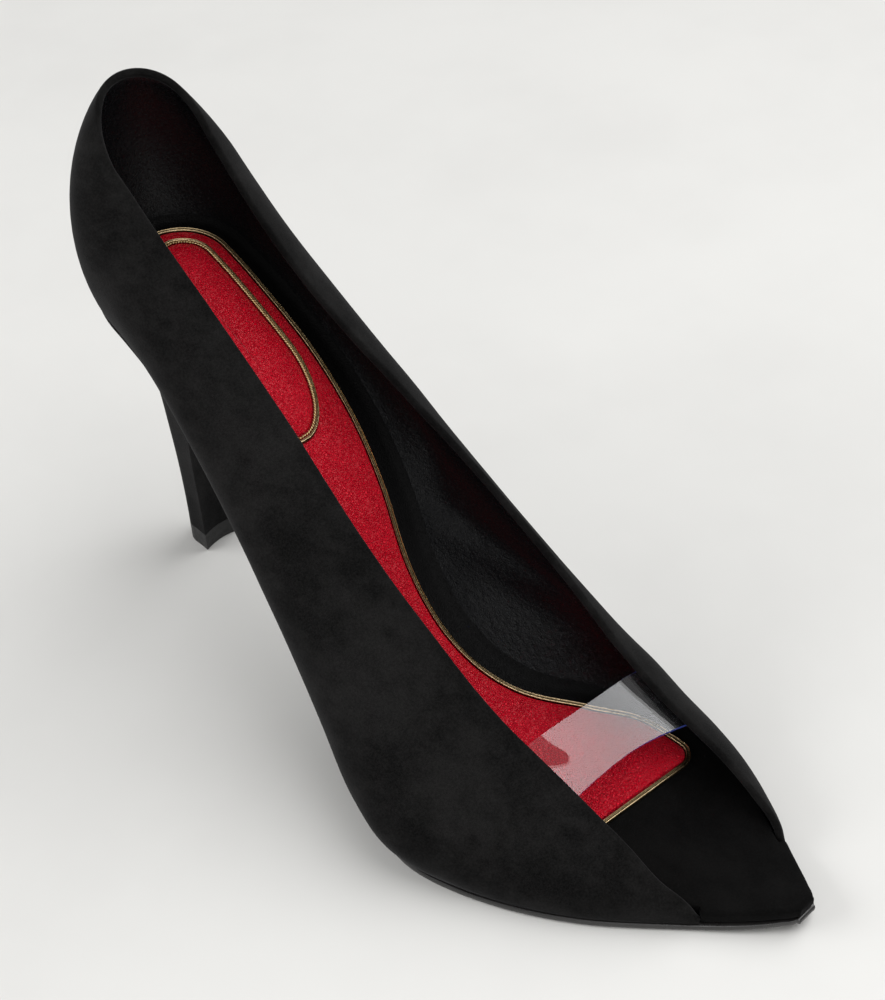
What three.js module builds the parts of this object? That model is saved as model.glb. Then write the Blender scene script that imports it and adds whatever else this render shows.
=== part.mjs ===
import * as THREE from 'three';

// A right peep toe pump, in millimetres. x runs to the inner side of the foot, y from the toe to the heel, z up.
// The feather line is the edge where the upper meets the sole, and every piece is worked out from it.

// Driving sizes of the last
const footLength = 230;
const ballWidth = 77;
const seatWidth = 46;
const seatRound = 20;
const heelHeight = 96;
const collarHeight = 52;

// Driving sizes of the pieces
const upperWall = 2;
const toplineRound = 0.7;
const soleThickness = 2;
const soleBevel = 0.5;
const insoleThickness = 3.6;
const insoleBevel = 1;
const platformInset = 0.5;
const sockThickness = 1;
const sockBorder = 3.6;
const sockCorner = 4;
const edgingWidth = 1.2;
const padThickness = 1.2;
const padCrown = 1.2;
const padBorder = 3.7;
const padReach = 66;
const padNose = 17;
const cordWidth = 1.5;
const strapThickness = 1;
const strapArch = 3.8;
const strapBow = 2;
const strapWidthLateral = 15.5;
const strapWidthMedial = 16.5;
const strapTuck = 0.24;
const breastDepth = 40;
const breastHollow = 4;
const stemWidth = 11.5;
const stemDepth = 11;
const stemSetback = 10.5;
const topPieceHeight = 6;
const topPieceBevel = 0.4;
const clearance = 0.3;
const facetRoom = 0.3;

// Underside of the sole from the side: at is a share of footLength, lift a share of heelHeight.
const profile = [
  { at: 0, lift: 0.026 },
  { at: 0.044, lift: 0.009 },
  { at: 0.096, lift: 0 },
  { at: 0.322, lift: 0 },
  { at: 0.413, lift: 0.052 },
  { at: 0.543, lift: 0.25 },
  { at: 0.674, lift: 0.542 },
  { at: 0.804, lift: 0.786 },
  { at: 0.922, lift: 0.943 },
  { at: 1, lift: 1 },
];

// Feather line from above: lateral and medial are the reach to each side, as shares of the local width.
const outline = [
  { at: 0, lateral: -0.073, medial: 0.117 },
  { at: 0.005, lateral: -0.044, medial: 0.136 },
  { at: 0.017, lateral: -0.005, medial: 0.162 },
  { at: 0.052, lateral: 0.091, medial: 0.229 },
  { at: 0.087, lateral: 0.179, medial: 0.292 },
  { at: 0.122, lateral: 0.27, medial: 0.343 },
  { at: 0.165, lateral: 0.375, medial: 0.388 },
  { at: 0.209, lateral: 0.46, medial: 0.413 },
  { at: 0.257, lateral: 0.532, medial: 0.419 },
  { at: 0.313, lateral: 0.59, medial: 0.397 },
  { at: 0.37, lateral: 0.62, medial: 0.304 },
  { at: 0.43, lateral: 0.605, medial: 0.166 },
  { at: 0.5, lateral: 0.574, medial: 0.106 },
  { at: 0.565, lateral: 0.559, medial: 0.147 },
  { at: 0.63, lateral: 0.55, medial: 0.264 },
  { at: 0.7, lateral: 0.545, medial: 0.379 },
  { at: 0.778, lateral: 0.54, medial: 0.46 },
  { at: 0.861, lateral: 0.528, medial: 0.482 },
  { at: 0.913, lateral: 0.522, medial: 0.478 },
];

// Walls of the two wings. rise is the height of the topline over the feather line, a share of collarHeight.
// belly and shoulder are the reach of the wall's two pull points and topline that of its edge, all as shares
// of the local width. Past the last row of the outline they tell how far the wall lies from the feather line.
const lateralWing = [
  { at: 0.079, rise: 0.025, belly: 0.162, shoulder: 0.161, topline: 0.158 },
  { at: 0.087, rise: 0.073, belly: 0.186, shoulder: 0.179, topline: 0.166 },
  { at: 0.122, rise: 0.2, belly: 0.283, shoulder: 0.244, topline: 0.206 },
  { at: 0.165, rise: 0.312, belly: 0.399, shoulder: 0.297, topline: 0.214 },
  { at: 0.209, rise: 0.385, belly: 0.494, shoulder: 0.336, topline: 0.216 },
  { at: 0.257, rise: 0.467, belly: 0.579, shoulder: 0.364, topline: 0.221 },
  { at: 0.313, rise: 0.587, belly: 0.71, shoulder: 0.432, topline: 0.238 },
  { at: 0.37, rise: 0.708, belly: 0.81, shoulder: 0.485, topline: 0.252 },
  { at: 0.43, rise: 0.792, belly: 0.8, shoulder: 0.48, topline: 0.26 },
  { at: 0.5, rise: 0.8, belly: 0.735, shoulder: 0.475, topline: 0.269 },
  { at: 0.565, rise: 0.762, belly: 0.7, shoulder: 0.48, topline: 0.271 },
  { at: 0.63, rise: 0.673, belly: 0.715, shoulder: 0.505, topline: 0.264 },
  { at: 0.7, rise: 0.596, belly: 0.73, shoulder: 0.53, topline: 0.261 },
  { at: 0.778, rise: 0.58, belly: 0.735, shoulder: 0.56, topline: 0.275 },
  { at: 0.861, rise: 0.68, belly: 0.702, shoulder: 0.56, topline: 0.311 },
  { at: 0.913, rise: 0.815, belly: 0.674, shoulder: 0.57, topline: 0.335 },
  { at: 0.957, rise: 0.96, belly: 0.66, shoulder: 0.585, topline: 0.374 },
  { at: 1, rise: 1, belly: 0.652, shoulder: 0.598, topline: 0.413 },
];

const medialWing = [
  { at: 0.072, rise: 0.025, belly: 0.269, shoulder: 0.268, topline: 0.264 },
  { at: 0.087, rise: 0.1, belly: 0.3, shoulder: 0.292, topline: 0.279 },
  { at: 0.122, rise: 0.217, belly: 0.36, shoulder: 0.33, topline: 0.284 },
  { at: 0.165, rise: 0.306, belly: 0.421, shoulder: 0.369, topline: 0.291 },
  { at: 0.209, rise: 0.377, belly: 0.462, shoulder: 0.394, topline: 0.292 },
  { at: 0.257, rise: 0.462, belly: 0.487, shoulder: 0.406, topline: 0.288 },
  { at: 0.313, rise: 0.581, belly: 0.501, shoulder: 0.43, topline: 0.294 },
  { at: 0.37, rise: 0.708, belly: 0.46, shoulder: 0.421, topline: 0.299 },
  { at: 0.43, rise: 0.788, belly: 0.404, shoulder: 0.411, topline: 0.302 },
  { at: 0.5, rise: 0.792, belly: 0.412, shoulder: 0.419, topline: 0.312 },
  { at: 0.565, rise: 0.754, belly: 0.478, shoulder: 0.448, topline: 0.319 },
  { at: 0.63, rise: 0.662, belly: 0.56, shoulder: 0.485, topline: 0.321 },
  { at: 0.7, rise: 0.59, belly: 0.615, shoulder: 0.52, topline: 0.319 },
  { at: 0.778, rise: 0.58, belly: 0.65, shoulder: 0.548, topline: 0.316 },
  { at: 0.861, rise: 0.68, belly: 0.652, shoulder: 0.539, topline: 0.322 },
  { at: 0.913, rise: 0.815, belly: 0.63, shoulder: 0.535, topline: 0.324 },
  { at: 0.957, rise: 0.96, belly: 0.616, shoulder: 0.543, topline: 0.346 },
  { at: 1, rise: 1, belly: 0.608, shoulder: 0.554, topline: 0.369 },
];

// Heights of the two pull points of a wall, as shares of its rise
const bellyHeight = 0.42;
const shoulderHeight = 0.8;

// Reach of the outsole past the feather line, in shares of the sole's thickness: proud in front, tucked behind.
const soleReach = [
  { at: 0, out: 0 },
  { at: 0.05, out: 0.25 },
  { at: 0.35, out: 0.25 },
  { at: 0.47, out: -0.7 },
  { at: 0.83, out: -0.6 },
];

// The heel going down: at is the share of the way from seat to tip. spread, front and back go from 0 at the
// seat's own outline to 1 at the stem's.
const heelTaper = [
  { at: 0, spread: 0, front: 0, back: 0 },
  { at: 0.08, spread: 0.26, front: 0.22, back: 0.12 },
  { at: 0.2, spread: 0.6, front: 0.56, back: 0.34 },
  { at: 0.36, spread: 0.83, front: 0.82, back: 0.6 },
  { at: 0.6, spread: 0.94, front: 0.97, back: 0.85 },
  { at: 1, spread: 1, front: 1, back: 1 },
];

// Where the front edges of the strap and of the sock lie, as shares of footLength
const strapPlaceLateral = 0.235;
const strapPlaceMedial = 0.22;
const sockPlace = 0.221;

// Places along the foot that the pieces' own sizes give
const strapFrontLateral = strapPlaceLateral * footLength;
const strapFrontMedial = strapPlaceMedial * footLength;
const strapBackLateral = strapFrontLateral + strapWidthLateral;
const strapBackMedial = strapFrontMedial + strapWidthMedial;
const sockFront = sockPlace * footLength;
const padFront = footLength - padReach;
const breastPlace = footLength - breastDepth;
const stemBack = footLength - stemSetback;
const stemFront = stemBack - stemDepth;

// Shares of footLength between which the local width goes from the ball's to the seat's
const narrowingStart = 0.37;
const narrowingEnd = 0.87;

// Where the board, sock and pad stop at the back, as shares of the way along the feather line
const boardEnd = 0.996;
const sockEnd = 0.99;
const padEnd = 0.985;

// Fullness of the pad's crown across it, and the share of a quarter turn that its nose sweeps on each side
const crownFullness = 0.7;
const noseSweep = 0.94;

// Numbers of faces along and around the pieces
const toeSteps = 5;
const platformSteps = 3;
const sideSteps = 31;
const seatSteps = 9;
const wallSteps = 8;
const crossSteps = 4;
const strapSteps = 22;
const strapRows = 5;
const ringSides = 6;
const cornerSteps = 4;
const noseSteps = 8;
const crownRows = 4;
const heelRows = 13;
const heelSideSteps = 4;
const breastSteps = 5;

// How the places crowd together: in the toe's first share, and towards the top of the heel
const toeShare = 0.03;
const toeCrowding = 1.5;
const seatCrowding = 1.4;

// A short step along the feather line or up a wall, to read the way it runs, and one to climb a wall by
const nudge = 0.002;
const climbStep = 0.05;

const seatStart = 1 - seatRound / footLength;
const quarterTurn = Math.PI / 2;
const up = new THREE.Vector3(0, 0, 1);

// A smooth curve through one column of a table. Rows of equal value stay level between them.
function column(rows, name) {
  const count = rows.length;
  const slopes = [];
  for (let i = 0; i < count - 1; i++) {
    slopes.push((rows[i + 1][name] - rows[i][name]) / (rows[i + 1].at - rows[i].at));
  }
  const tangents = rows.map((row, i) => {
    if (i === 0 || i === count - 1) return 0;
    const before = slopes[i - 1];
    const after = slopes[i];
    const nearness = (rows[i + 1].at - row.at) / (rows[i + 1].at - rows[i - 1].at);
    return before * after === 0 ? 0 : THREE.MathUtils.lerp(after, before, nearness);
  });
  return (at, openEnds = false) => {
    const place = THREE.MathUtils.clamp(at, rows[0].at, rows[count - 1].at);
    let i = 0;
    while (i < count - 2 && place > rows[i + 1].at) i++;
    const span = rows[i + 1].at - rows[i].at;
    const t = (place - rows[i].at) / span;
    const start = openEnds && i === 0 ? slopes[0] : tangents[i];
    const end = openEnds && i === count - 2 ? slopes[i] : tangents[i + 1];
    const a = rows[i][name];
    const b = rows[i + 1][name];
    const ease = t * t * (3 - 2 * t);
    const bendStart = t * (1 - t) * (1 - t) * span * start;
    const bendEnd = t * t * (t - 1) * span * end;
    return a + (b - a) * ease + bendStart + bendEnd;
  };
}

const liftShare = column(profile, 'lift');
const lateralReach = column(outline, 'lateral');
const medialReach = column(outline, 'medial');
const reachOfSole = column(soleReach, 'out');
const heelSpread = column(heelTaper, 'spread');
const heelFront = column(heelTaper, 'front');
const heelBack = column(heelTaper, 'back');

function wing(rows) {
  return {
    start: rows[0].at,
    rise: column(rows, 'rise'),
    belly: column(rows, 'belly'),
    shoulder: column(rows, 'shoulder'),
    topline: column(rows, 'topline'),
  };
}

const wings = { '-1': wing(lateralWing), 1: wing(medialWing) };

// Local width: the ball's in front, the seat's behind.
function localWidth(along) {
  return THREE.MathUtils.lerp(
    ballWidth,
    seatWidth,
    THREE.MathUtils.smoothstep(along, narrowingStart, narrowingEnd),
  );
}

// Height of the sole's underside at a place y.
function soleHeight(y) {
  return heelHeight * liftShare(y / footLength, true);
}

// Level of the feather line, a clearance over the outsole.
function featherHeight(y) {
  return soleHeight(y) + soleThickness + clearance;
}

function reachOfFeather(side, along) {
  const reach = side < 0 ? lateralReach : medialReach;
  return reach(Math.min(along, seatStart), true);
}

// A point of the feather line. side is -1 on the lateral side and 1 on the medial, and along goes from 0 at
// the toe to 1 at the middle of the back. out is the way that the wall bellies there.
function feather(side, along) {
  const half = reachOfFeather(side, along) * localWidth(along);
  if (along <= seatStart) {
    return { x: side * half, y: along * footLength, outX: side, outY: 0 };
  }
  const turn = ((along - seatStart) / (1 - seatStart)) * quarterTurn;
  return {
    x: side * half * Math.cos(turn),
    y: seatStart * footLength + seatRound * Math.sin(turn),
    outX: side * Math.cos(turn),
    outY: Math.sin(turn),
  };
}

// The way that the feather line runs, from above.
function runOf(side, along) {
  const a = feather(side, Math.max(along - nudge, 0));
  const b = feather(side, Math.min(along + nudge, 1));
  return new THREE.Vector2(b.x - a.x, b.y - a.y).normalize();
}

// A point beside the feather line, inset from it square to the line, at a height over the sole's underside.
function beside(side, along, inset, height) {
  const run = runOf(side, along);
  const here = feather(side, along);
  const x = here.x - side * run.y * inset;
  const y = here.y + side * run.x * inset;
  return new THREE.Vector3(x, y, soleHeight(y) + height);
}

// A point of the wing's outer face. t goes from 0 at the feather line to 1 at the topline.
function wingFace(side, along, t) {
  const base = feather(side, along);
  const shape = wings[side];
  const width = localWidth(along);
  const rise = shape.rise(along) * collarHeight;
  const foot = reachOfFeather(side, along);
  const section = new THREE.CubicBezierCurve(
    new THREE.Vector2(0, 0),
    new THREE.Vector2((shape.belly(along) - foot) * width, bellyHeight * rise),
    new THREE.Vector2((shape.shoulder(along) - foot) * width, shoulderHeight * rise),
    new THREE.Vector2((shape.topline(along) - foot) * width, rise),
  );
  const point = section.getPoint(t);
  return new THREE.Vector3(
    base.x + base.outX * point.x,
    base.y + base.outY * point.x,
    featherHeight(base.y) + point.y,
  );
}

// The same point sunk into the wing by a depth, with the outward and upward ways of the face there.
function wingPoint(side, along, t, depth) {
  const low = Math.max(along - nudge, wings[side].start);
  const high = Math.min(along + nudge, 1);
  const alongWay = wingFace(side, high, t).sub(wingFace(side, low, t));
  const upper = wingFace(side, along, Math.min(t + nudge, 1));
  const rising = upper.sub(wingFace(side, along, Math.max(t - nudge, 0)));
  const outward = alongWay.cross(rising).multiplyScalar(side).normalize();
  const point = wingFace(side, along, t).addScaledVector(outward, -depth);
  return { point, outward, rising: rising.normalize() };
}

// Places along one side, closer together at the toe and round the seat.
function places(from, to, toe, sides, seat) {
  const list = [];
  const toeEnd = from + (to - from) * toeShare;
  for (let i = 0; i < toe; i++) list.push(from + (toeEnd - from) * (i / toe) ** toeCrowding);
  const sideStart = toe > 0 ? toeEnd : from;
  const sideEnd = seat > 0 ? seatStart : to;
  for (let i = 0; i < sides; i++) list.push(THREE.MathUtils.lerp(sideStart, sideEnd, i / sides));
  for (let i = 0; i < seat; i++) list.push(THREE.MathUtils.lerp(sideEnd, to, i / seat));
  list.push(to);
  return list;
}

// A closed surface over rows of points, each row a closed loop. Rows that don't ring round are capped at both
// ends, point by point across the loop or, with a fan, from its middle.
function skin(rows, { ring = false, fan = false } = {}) {
  const size = rows[0].length;
  const vertices = rows.flat();
  const faces = [];
  const spans = ring ? rows.length : rows.length - 1;
  for (let i = 0; i < spans; i++) {
    const next = (i + 1) % rows.length;
    for (let j = 0; j < size; j++) {
      const k = (j + 1) % size;
      const a = i * size + j;
      const b = i * size + k;
      const c = next * size + k;
      const d = next * size + j;
      faces.push([a, b, c], [a, c, d]);
    }
  }
  if (!ring) {
    for (const [row, turn] of [[0, 1], [rows.length - 1, -1]]) {
      const first = row * size;
      const cap = fan ? fanCap(rows[row], first, vertices) : zipCap(size, first);
      for (const [a, b, c] of cap) faces.push(turn > 0 ? [a, c, b] : [a, b, c]);
    }
  }
  return solid(vertices, faces);
}

function zipCap(size, first) {
  const cap = [];
  for (let j = 0; j < size / 2 - 1; j++) {
    const a = first + j;
    const b = first + j + 1;
    const c = first + size - 2 - j;
    const d = first + size - 1 - j;
    cap.push([a, b, c], [a, c, d]);
  }
  return cap;
}

function fanCap(loop, first, vertices) {
  const middle = new THREE.Vector3();
  for (const point of loop) middle.addScaledVector(point, 1 / loop.length);
  vertices.push(middle);
  const centre = vertices.length - 1;
  return loop.map((point, j) => [centre, first + j, first + ((j + 1) % loop.length)]);
}

// A geometry from points and faces, turned so that the faces point out.
function solid(vertices, faces) {
  let volume = 0;
  for (const [a, b, c] of faces) volume += vertices[a].dot(vertices[b].clone().cross(vertices[c]));
  const turned = volume < 0 ? faces.map(([a, b, c]) => [a, c, b]) : faces;
  const geometry = new THREE.BufferGeometry().setFromPoints(vertices);
  geometry.setIndex(turned.flat());
  geometry.computeVertexNormals();
  return geometry;
}

function spread(from, to, steps) {
  return Array.from({ length: steps + 1 }, (unused, i) => from.clone().lerp(to, i / steps));
}

// The upper: two wings joined round the back, one wall with a folded topline, open in front and underneath.
function upper() {
  const section = (side, along) => {
    const outer = [];
    const inner = [];
    for (let j = 0; j <= wallSteps; j++) {
      outer.push(wingPoint(side, along, j / wallSteps, 0).point);
      inner.push(wingPoint(side, along, j / wallSteps, upperWall).point);
    }
    const edge = wingPoint(side, along, 1, 0);
    const fold = edge.rising.multiplyScalar(toplineRound);
    const quarter = edge.outward.multiplyScalar(upperWall / 4);
    outer.push(outer[wallSteps].clone().add(fold).sub(quarter));
    inner.push(inner[wallSteps].clone().add(fold).add(quarter));
    return [...outer, ...inner.reverse()];
  };
  const walls = (side) => places(wings[side].start, 1, toeSteps, sideSteps, seatSteps)
    .map((along) => section(side, along));
  const medial = walls(1).reverse().slice(1);
  return skin([...walls(-1), ...medial]);
}

// Edge of the insole board at a height over its underside. In front of a wing the platform lies bare, at the
// wing's end it steps in, and behind that it follows the inside of the wall.
const sideGap = clearance / footLength;

function insoleEdge(side, along, height) {
  const foot = soleThickness + clearance;
  const start = wings[side].start;
  if (along < start) return beside(side, along, platformInset, foot + height);
  if (along === start) return beside(side, start - sideGap, upperWall + clearance, foot + height);
  const depth = upperWall + clearance + facetRoom;
  const heightOf = (point) => point.z - featherHeight(point.y);
  let lower = wingPoint(side, along, 0, depth).point;
  let higher = lower;
  for (let t = climbStep; t <= 1 && heightOf(higher) < height; t += climbStep) {
    lower = higher;
    higher = wingPoint(side, along, t, depth).point;
  }
  const climb = heightOf(higher) - heightOf(lower);
  const share = climb > 0 ? THREE.MathUtils.clamp((height - heightOf(lower)) / climb, 0, 1) : 0;
  const edge = lower.clone().lerp(higher, share);
  edge.z = featherHeight(edge.y) + height;
  return edge;
}

// The insole board: a bare platform at the toe, and behind the wings' ends a board that fills the walls.
function insole() {
  const stops = (side) => {
    const start = wings[side].start;
    const platform = places(0, start - 3 * sideGap, toeSteps, platformSteps, 0);
    return [...platform, ...places(start, boardEnd, 0, sideSteps, seatSteps)];
  };
  const lateral = stops(-1);
  const medial = stops(1);
  const rows = lateral.map((along, i) => {
    const left = [0, insoleThickness - insoleBevel].map((height) => insoleEdge(-1, along, height));
    const right = [0, insoleThickness - insoleBevel].map((height) => insoleEdge(1, medial[i], height));
    const across = right[1].clone().sub(left[1]).setZ(0);
    const bevel = Math.min(insoleBevel, across.length() / 4);
    across.normalize();
    const crown = (from, way) => {
      const point = from.clone().addScaledVector(across, way * bevel);
      point.z = featherHeight(point.y) + insoleThickness;
      return point;
    };
    const top = spread(crown(left[1], 1), crown(right[1], -1), crossSteps);
    const bottom = spread(right[0], left[0], crossSteps + 2);
    return [left[1], ...top, right[1], ...bottom];
  });
  return skin(rows);
}

// The outsole, from the toe to the breast of the heel, with a bevel along its lower edge.
function outsole() {
  const lastPlace = (breastPlace - clearance) / footLength;
  const rows = places(0, lastPlace, toeSteps, sideSteps, 0).map((along) => {
    const out = reachOfSole(along) * soleThickness;
    const top = [-1, 1].map((side) => beside(side, along, -out, soleThickness));
    const edge = [-1, 1].map((side) => beside(side, along, -out, soleBevel));
    const tread = [-1, 1].map((side) => beside(side, along, soleBevel - out, 0));
    const upperFace = spread(top[0], top[1], crossSteps + 2);
    const lowerFace = spread(tread[1], tread[0], crossSteps);
    return [...upperFace, edge[1], ...lowerFace, edge[0]];
  });
  return skin(rows);
}

const sockInset = upperWall + clearance + sockBorder + edgingWidth + clearance;
const sockLevel = soleThickness + clearance + insoleThickness + clearance;

// One side's edge of the sock from front to back, grown by a distance. The front corner turns round one centre.
function sockEdge(side, grow, height) {
  const cornerPlace = (sockFront + sockCorner) / footLength;
  const centre = beside(side, cornerPlace, sockInset + sockCorner, height);
  const run = runOf(side, cornerPlace);
  const sweep = Math.atan2(run.y, side * run.x);
  const radius = sockCorner + grow;
  const points = [];
  for (let i = 0; i < cornerSteps; i++) {
    const angle = sweep * (i / cornerSteps);
    const x = centre.x + side * radius * Math.sin(angle);
    const y = centre.y - radius * Math.cos(angle);
    points.push(new THREE.Vector3(x, y, soleHeight(y) + height));
  }
  const rest = places(cornerPlace, sockEnd, 0, sideSteps - cornerSteps, seatSteps);
  return [...points, ...rest.map((along) => beside(side, along, sockInset - grow, height))];
}

// A sheet of even thickness between two edges, each a list of points at its lower level.
function sheet(lateral, medial, thickness, crown = 0) {
  const rows = lateral.map((left, i) => {
    const bottom = spread(left, medial[i], crossSteps);
    const end = Math.min(i, lateral.length - 1 - i) / crownRows;
    const swell = crown * Math.sin(quarterTurn * Math.min(end, 1));
    const top = bottom.map((point, j) => {
      const bulge = swell * Math.sin(Math.PI * (j / crossSteps)) ** crownFullness;
      return point.clone().addScaledVector(up, thickness + bulge);
    });
    return [...top, ...bottom.reverse()];
  });
  return skin(rows);
}

function sock() {
  return sheet(sockEdge(-1, 0, sockLevel), sockEdge(1, 0, sockLevel), sockThickness);
}

// A round strip that rings a loop of points.
function piping(loop, width) {
  const radius = width / 2;
  const rows = loop.map((point, i) => {
    const before = loop[(i + loop.length - 1) % loop.length];
    const after = loop[(i + 1) % loop.length];
    const run = after.clone().sub(before).normalize();
    const sideways = run.clone().cross(up).normalize();
    const upward = sideways.clone().cross(run);
    return Array.from({ length: ringSides }, (unused, j) => {
      const angle = (j / ringSides) * 2 * Math.PI;
      return point.clone()
        .addScaledVector(sideways, radius * Math.cos(angle))
        .addScaledVector(upward, radius * Math.sin(angle));
    });
  });
  return skin(rows, { ring: true });
}

function loopOf(lateral, medial) {
  const front = spread(medial[0], lateral[0], crossSteps).slice(1, -1);
  return [...lateral, ...medial.slice().reverse(), ...front];
}

function sockEdging() {
  const grow = clearance + edgingWidth / 2;
  const level = sockLevel + edgingWidth / 2;
  return piping(loopOf(sockEdge(-1, grow, level), sockEdge(1, grow, level)), edgingWidth);
}

// Edge of the heel pad: a round nose in front, then the seat's own outline.
const padInset = sockInset + padBorder + cordWidth + clearance;
const padLevel = sockLevel + sockThickness + clearance;

function padEdge(side, grow, height) {
  const nosePlace = (padFront + padNose) / footLength;
  const inset = padInset - grow;
  const wide = beside(side, nosePlace, inset, height);
  const other = beside(-side, nosePlace, inset, height);
  const middle = (wide.x + other.x) / 2;
  const points = [];
  for (let i = 0; i < noseSteps; i++) {
    const angle = quarterTurn * noseSweep * (1 - i / noseSteps);
    const x = middle + (wide.x - middle) * Math.cos(angle);
    const y = padFront + padNose - (padNose + grow) * Math.sin(angle);
    points.push(new THREE.Vector3(x, y, soleHeight(y) + height));
  }
  const rest = places(nosePlace, padEnd, 0, cornerSteps, seatSteps - 1);
  return [...points, ...rest.map((along) => beside(side, along, inset, height))];
}

function heelPad() {
  return sheet(padEdge(-1, 0, padLevel), padEdge(1, 0, padLevel), padThickness, padCrown);
}

function heelPadCord() {
  const grow = clearance + cordWidth / 2;
  const level = padLevel + cordWidth / 2;
  return piping(loopOf(padEdge(-1, grow, level), padEdge(1, grow, level)), cordWidth);
}

// The clear strap: a band arched over the ball, its ends tucked down the inside of the wings.
function vampStrap() {
  const depth = upperWall + clearance + strapThickness / 2;
  const middleLine = (across) => {
    const lateral = THREE.MathUtils.lerp(strapFrontLateral, strapBackLateral, across) / footLength;
    const medial = THREE.MathUtils.lerp(strapFrontMedial, strapBackMedial, across) / footLength;
    const tuck = (side, along, share) => wingPoint(side, along, 1 - share * strapTuck, depth).point;
    const ends = [tuck(-1, lateral, 0), tuck(1, medial, 0)];
    const crest = ends[0].clone().lerp(ends[1], 0.5);
    crest.y -= strapBow * across;
    crest.z += strapArch;
    return new THREE.CatmullRomCurve3([
      tuck(-1, lateral, 1),
      tuck(-1, lateral, 0.5),
      ends[0],
      crest,
      ends[1],
      tuck(1, medial, 0.5),
      tuck(1, medial, 1),
    ]);
  };
  const lines = Array.from({ length: strapRows + 1 }, (unused, i) => middleLine(i / strapRows));
  const rows = lines.map((line, i) => {
    const next = lines[Math.min(i + 1, strapRows)];
    const last = lines[Math.max(i - 1, 0)];
    const top = [];
    const bottom = [];
    for (let j = 0; j <= strapSteps; j++) {
      const t = j / strapSteps;
      const point = line.getPoint(t);
      const lengthways = next.getPoint(t).sub(last.getPoint(t));
      const outward = line.getTangent(t).cross(lengthways).normalize();
      top.push(point.clone().addScaledVector(outward, strapThickness / 2));
      bottom.push(point.clone().addScaledVector(outward, -strapThickness / 2));
    }
    return [...top, ...bottom.reverse()];
  });
  return skin(rows);
}

// One level of the heel. down goes from 0 at the seat to 1 at the tip. A level may have a height of its own.
function heelLevel(down, height) {
  const narrowing = THREE.MathUtils.lerp(1, stemWidth / seatWidth, heelSpread(down));
  const front = THREE.MathUtils.lerp(breastPlace, stemFront, heelFront(down));
  const back = THREE.MathUtils.lerp(footLength, stemBack, heelBack(down));
  const breastShare = breastPlace / footLength;
  const middle = (feather(-1, breastShare).x + feather(1, breastShare).x) / 2;
  const sideLoop = (side) => places(breastShare, 1, 0, heelSideSteps, seatSteps).map((along) => {
    const edge = feather(side, along);
    const depth = (edge.y - breastPlace) / (footLength - breastPlace);
    const top = soleHeight(edge.y) + soleThickness;
    const z = height ?? THREE.MathUtils.lerp(top, topPieceHeight + clearance, down);
    const x = middle + (edge.x - middle) * narrowing;
    return new THREE.Vector3(x, THREE.MathUtils.lerp(front, back, depth), z);
  });
  const lateral = sideLoop(-1);
  const medial = sideLoop(1).reverse().slice(1);
  const breast = spread(medial[medial.length - 1], lateral[0], breastSteps).slice(1, -1);
  breast.forEach((point, i) => {
    const across = (i + 1) / breastSteps;
    point.y += breastHollow * narrowing * 4 * across * (1 - across);
  });
  return [...lateral, ...medial, ...breast];
}

function heel() {
  const rows = [];
  for (let i = 0; i <= heelRows; i++) rows.push(heelLevel((i / heelRows) ** seatCrowding));
  return skin(rows, { fan: true });
}

function topPiece() {
  const shrunk = heelLevel(1, 0);
  const middle = new THREE.Vector3();
  for (const point of shrunk) middle.addScaledVector(point, 1 / shrunk.length);
  const foot = shrunk.map((point) => {
    const way = middle.clone().sub(point).normalize();
    return point.clone().addScaledVector(way, topPieceBevel);
  });
  return skin([heelLevel(1, topPieceHeight), heelLevel(1, topPieceBevel), foot], { fan: true });
}

function material(color, roughness, metalness = 0, extra = {}) {
  return new THREE.MeshStandardMaterial({ color, roughness, metalness, ...extra });
}

const blackSuede = 0x17171a;
const blackLeather = 0x0c0c0d;
const redLeather = 0xb80a24;
const gold = 0xc9a25e;
const clearBand = 0xdfe4ef;
const blackRubber = 0x111112;

const pieces = {
  upper: [upper(), material(blackSuede, 0.95)],
  insole: [insole(), material(blackSuede, 0.95)],
  outsole: [outsole(), material(blackLeather, 0.35)],
  sock: [sock(), material(redLeather, 0.5)],
  sock_edging: [sockEdging(), material(gold, 0.35, 0.9)],
  heel_pad: [heelPad(), material(redLeather, 0.5)],
  heel_pad_cord: [heelPadCord(), material(gold, 0.4, 0.9)],
  vamp_strap: [vampStrap(), material(clearBand, 0.08, 0, { transparent: true, opacity: 0.35 })],
  heel: [heel(), material(blackSuede, 0.95)],
  top_piece: [topPiece(), material(blackRubber, 0.7)],
};

const pump = new THREE.Group();
for (const [name, [geometry, finish]] of Object.entries(pieces)) {
  const mesh = new THREE.Mesh(geometry, finish);
  mesh.name = name;
  pump.add(mesh);
}

// The origin lies on the floor, under the middle of the whole shoe.
const box = new THREE.Box3().setFromObject(pump);
const centre = box.getCenter(new THREE.Vector3());
pump.position.set(-centre.x, -centre.y, -box.min.z);

export default pump;
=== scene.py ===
import math

import bmesh
import bpy
import numpy as np
from mathutils import Matrix, Quaternion, Vector


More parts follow.
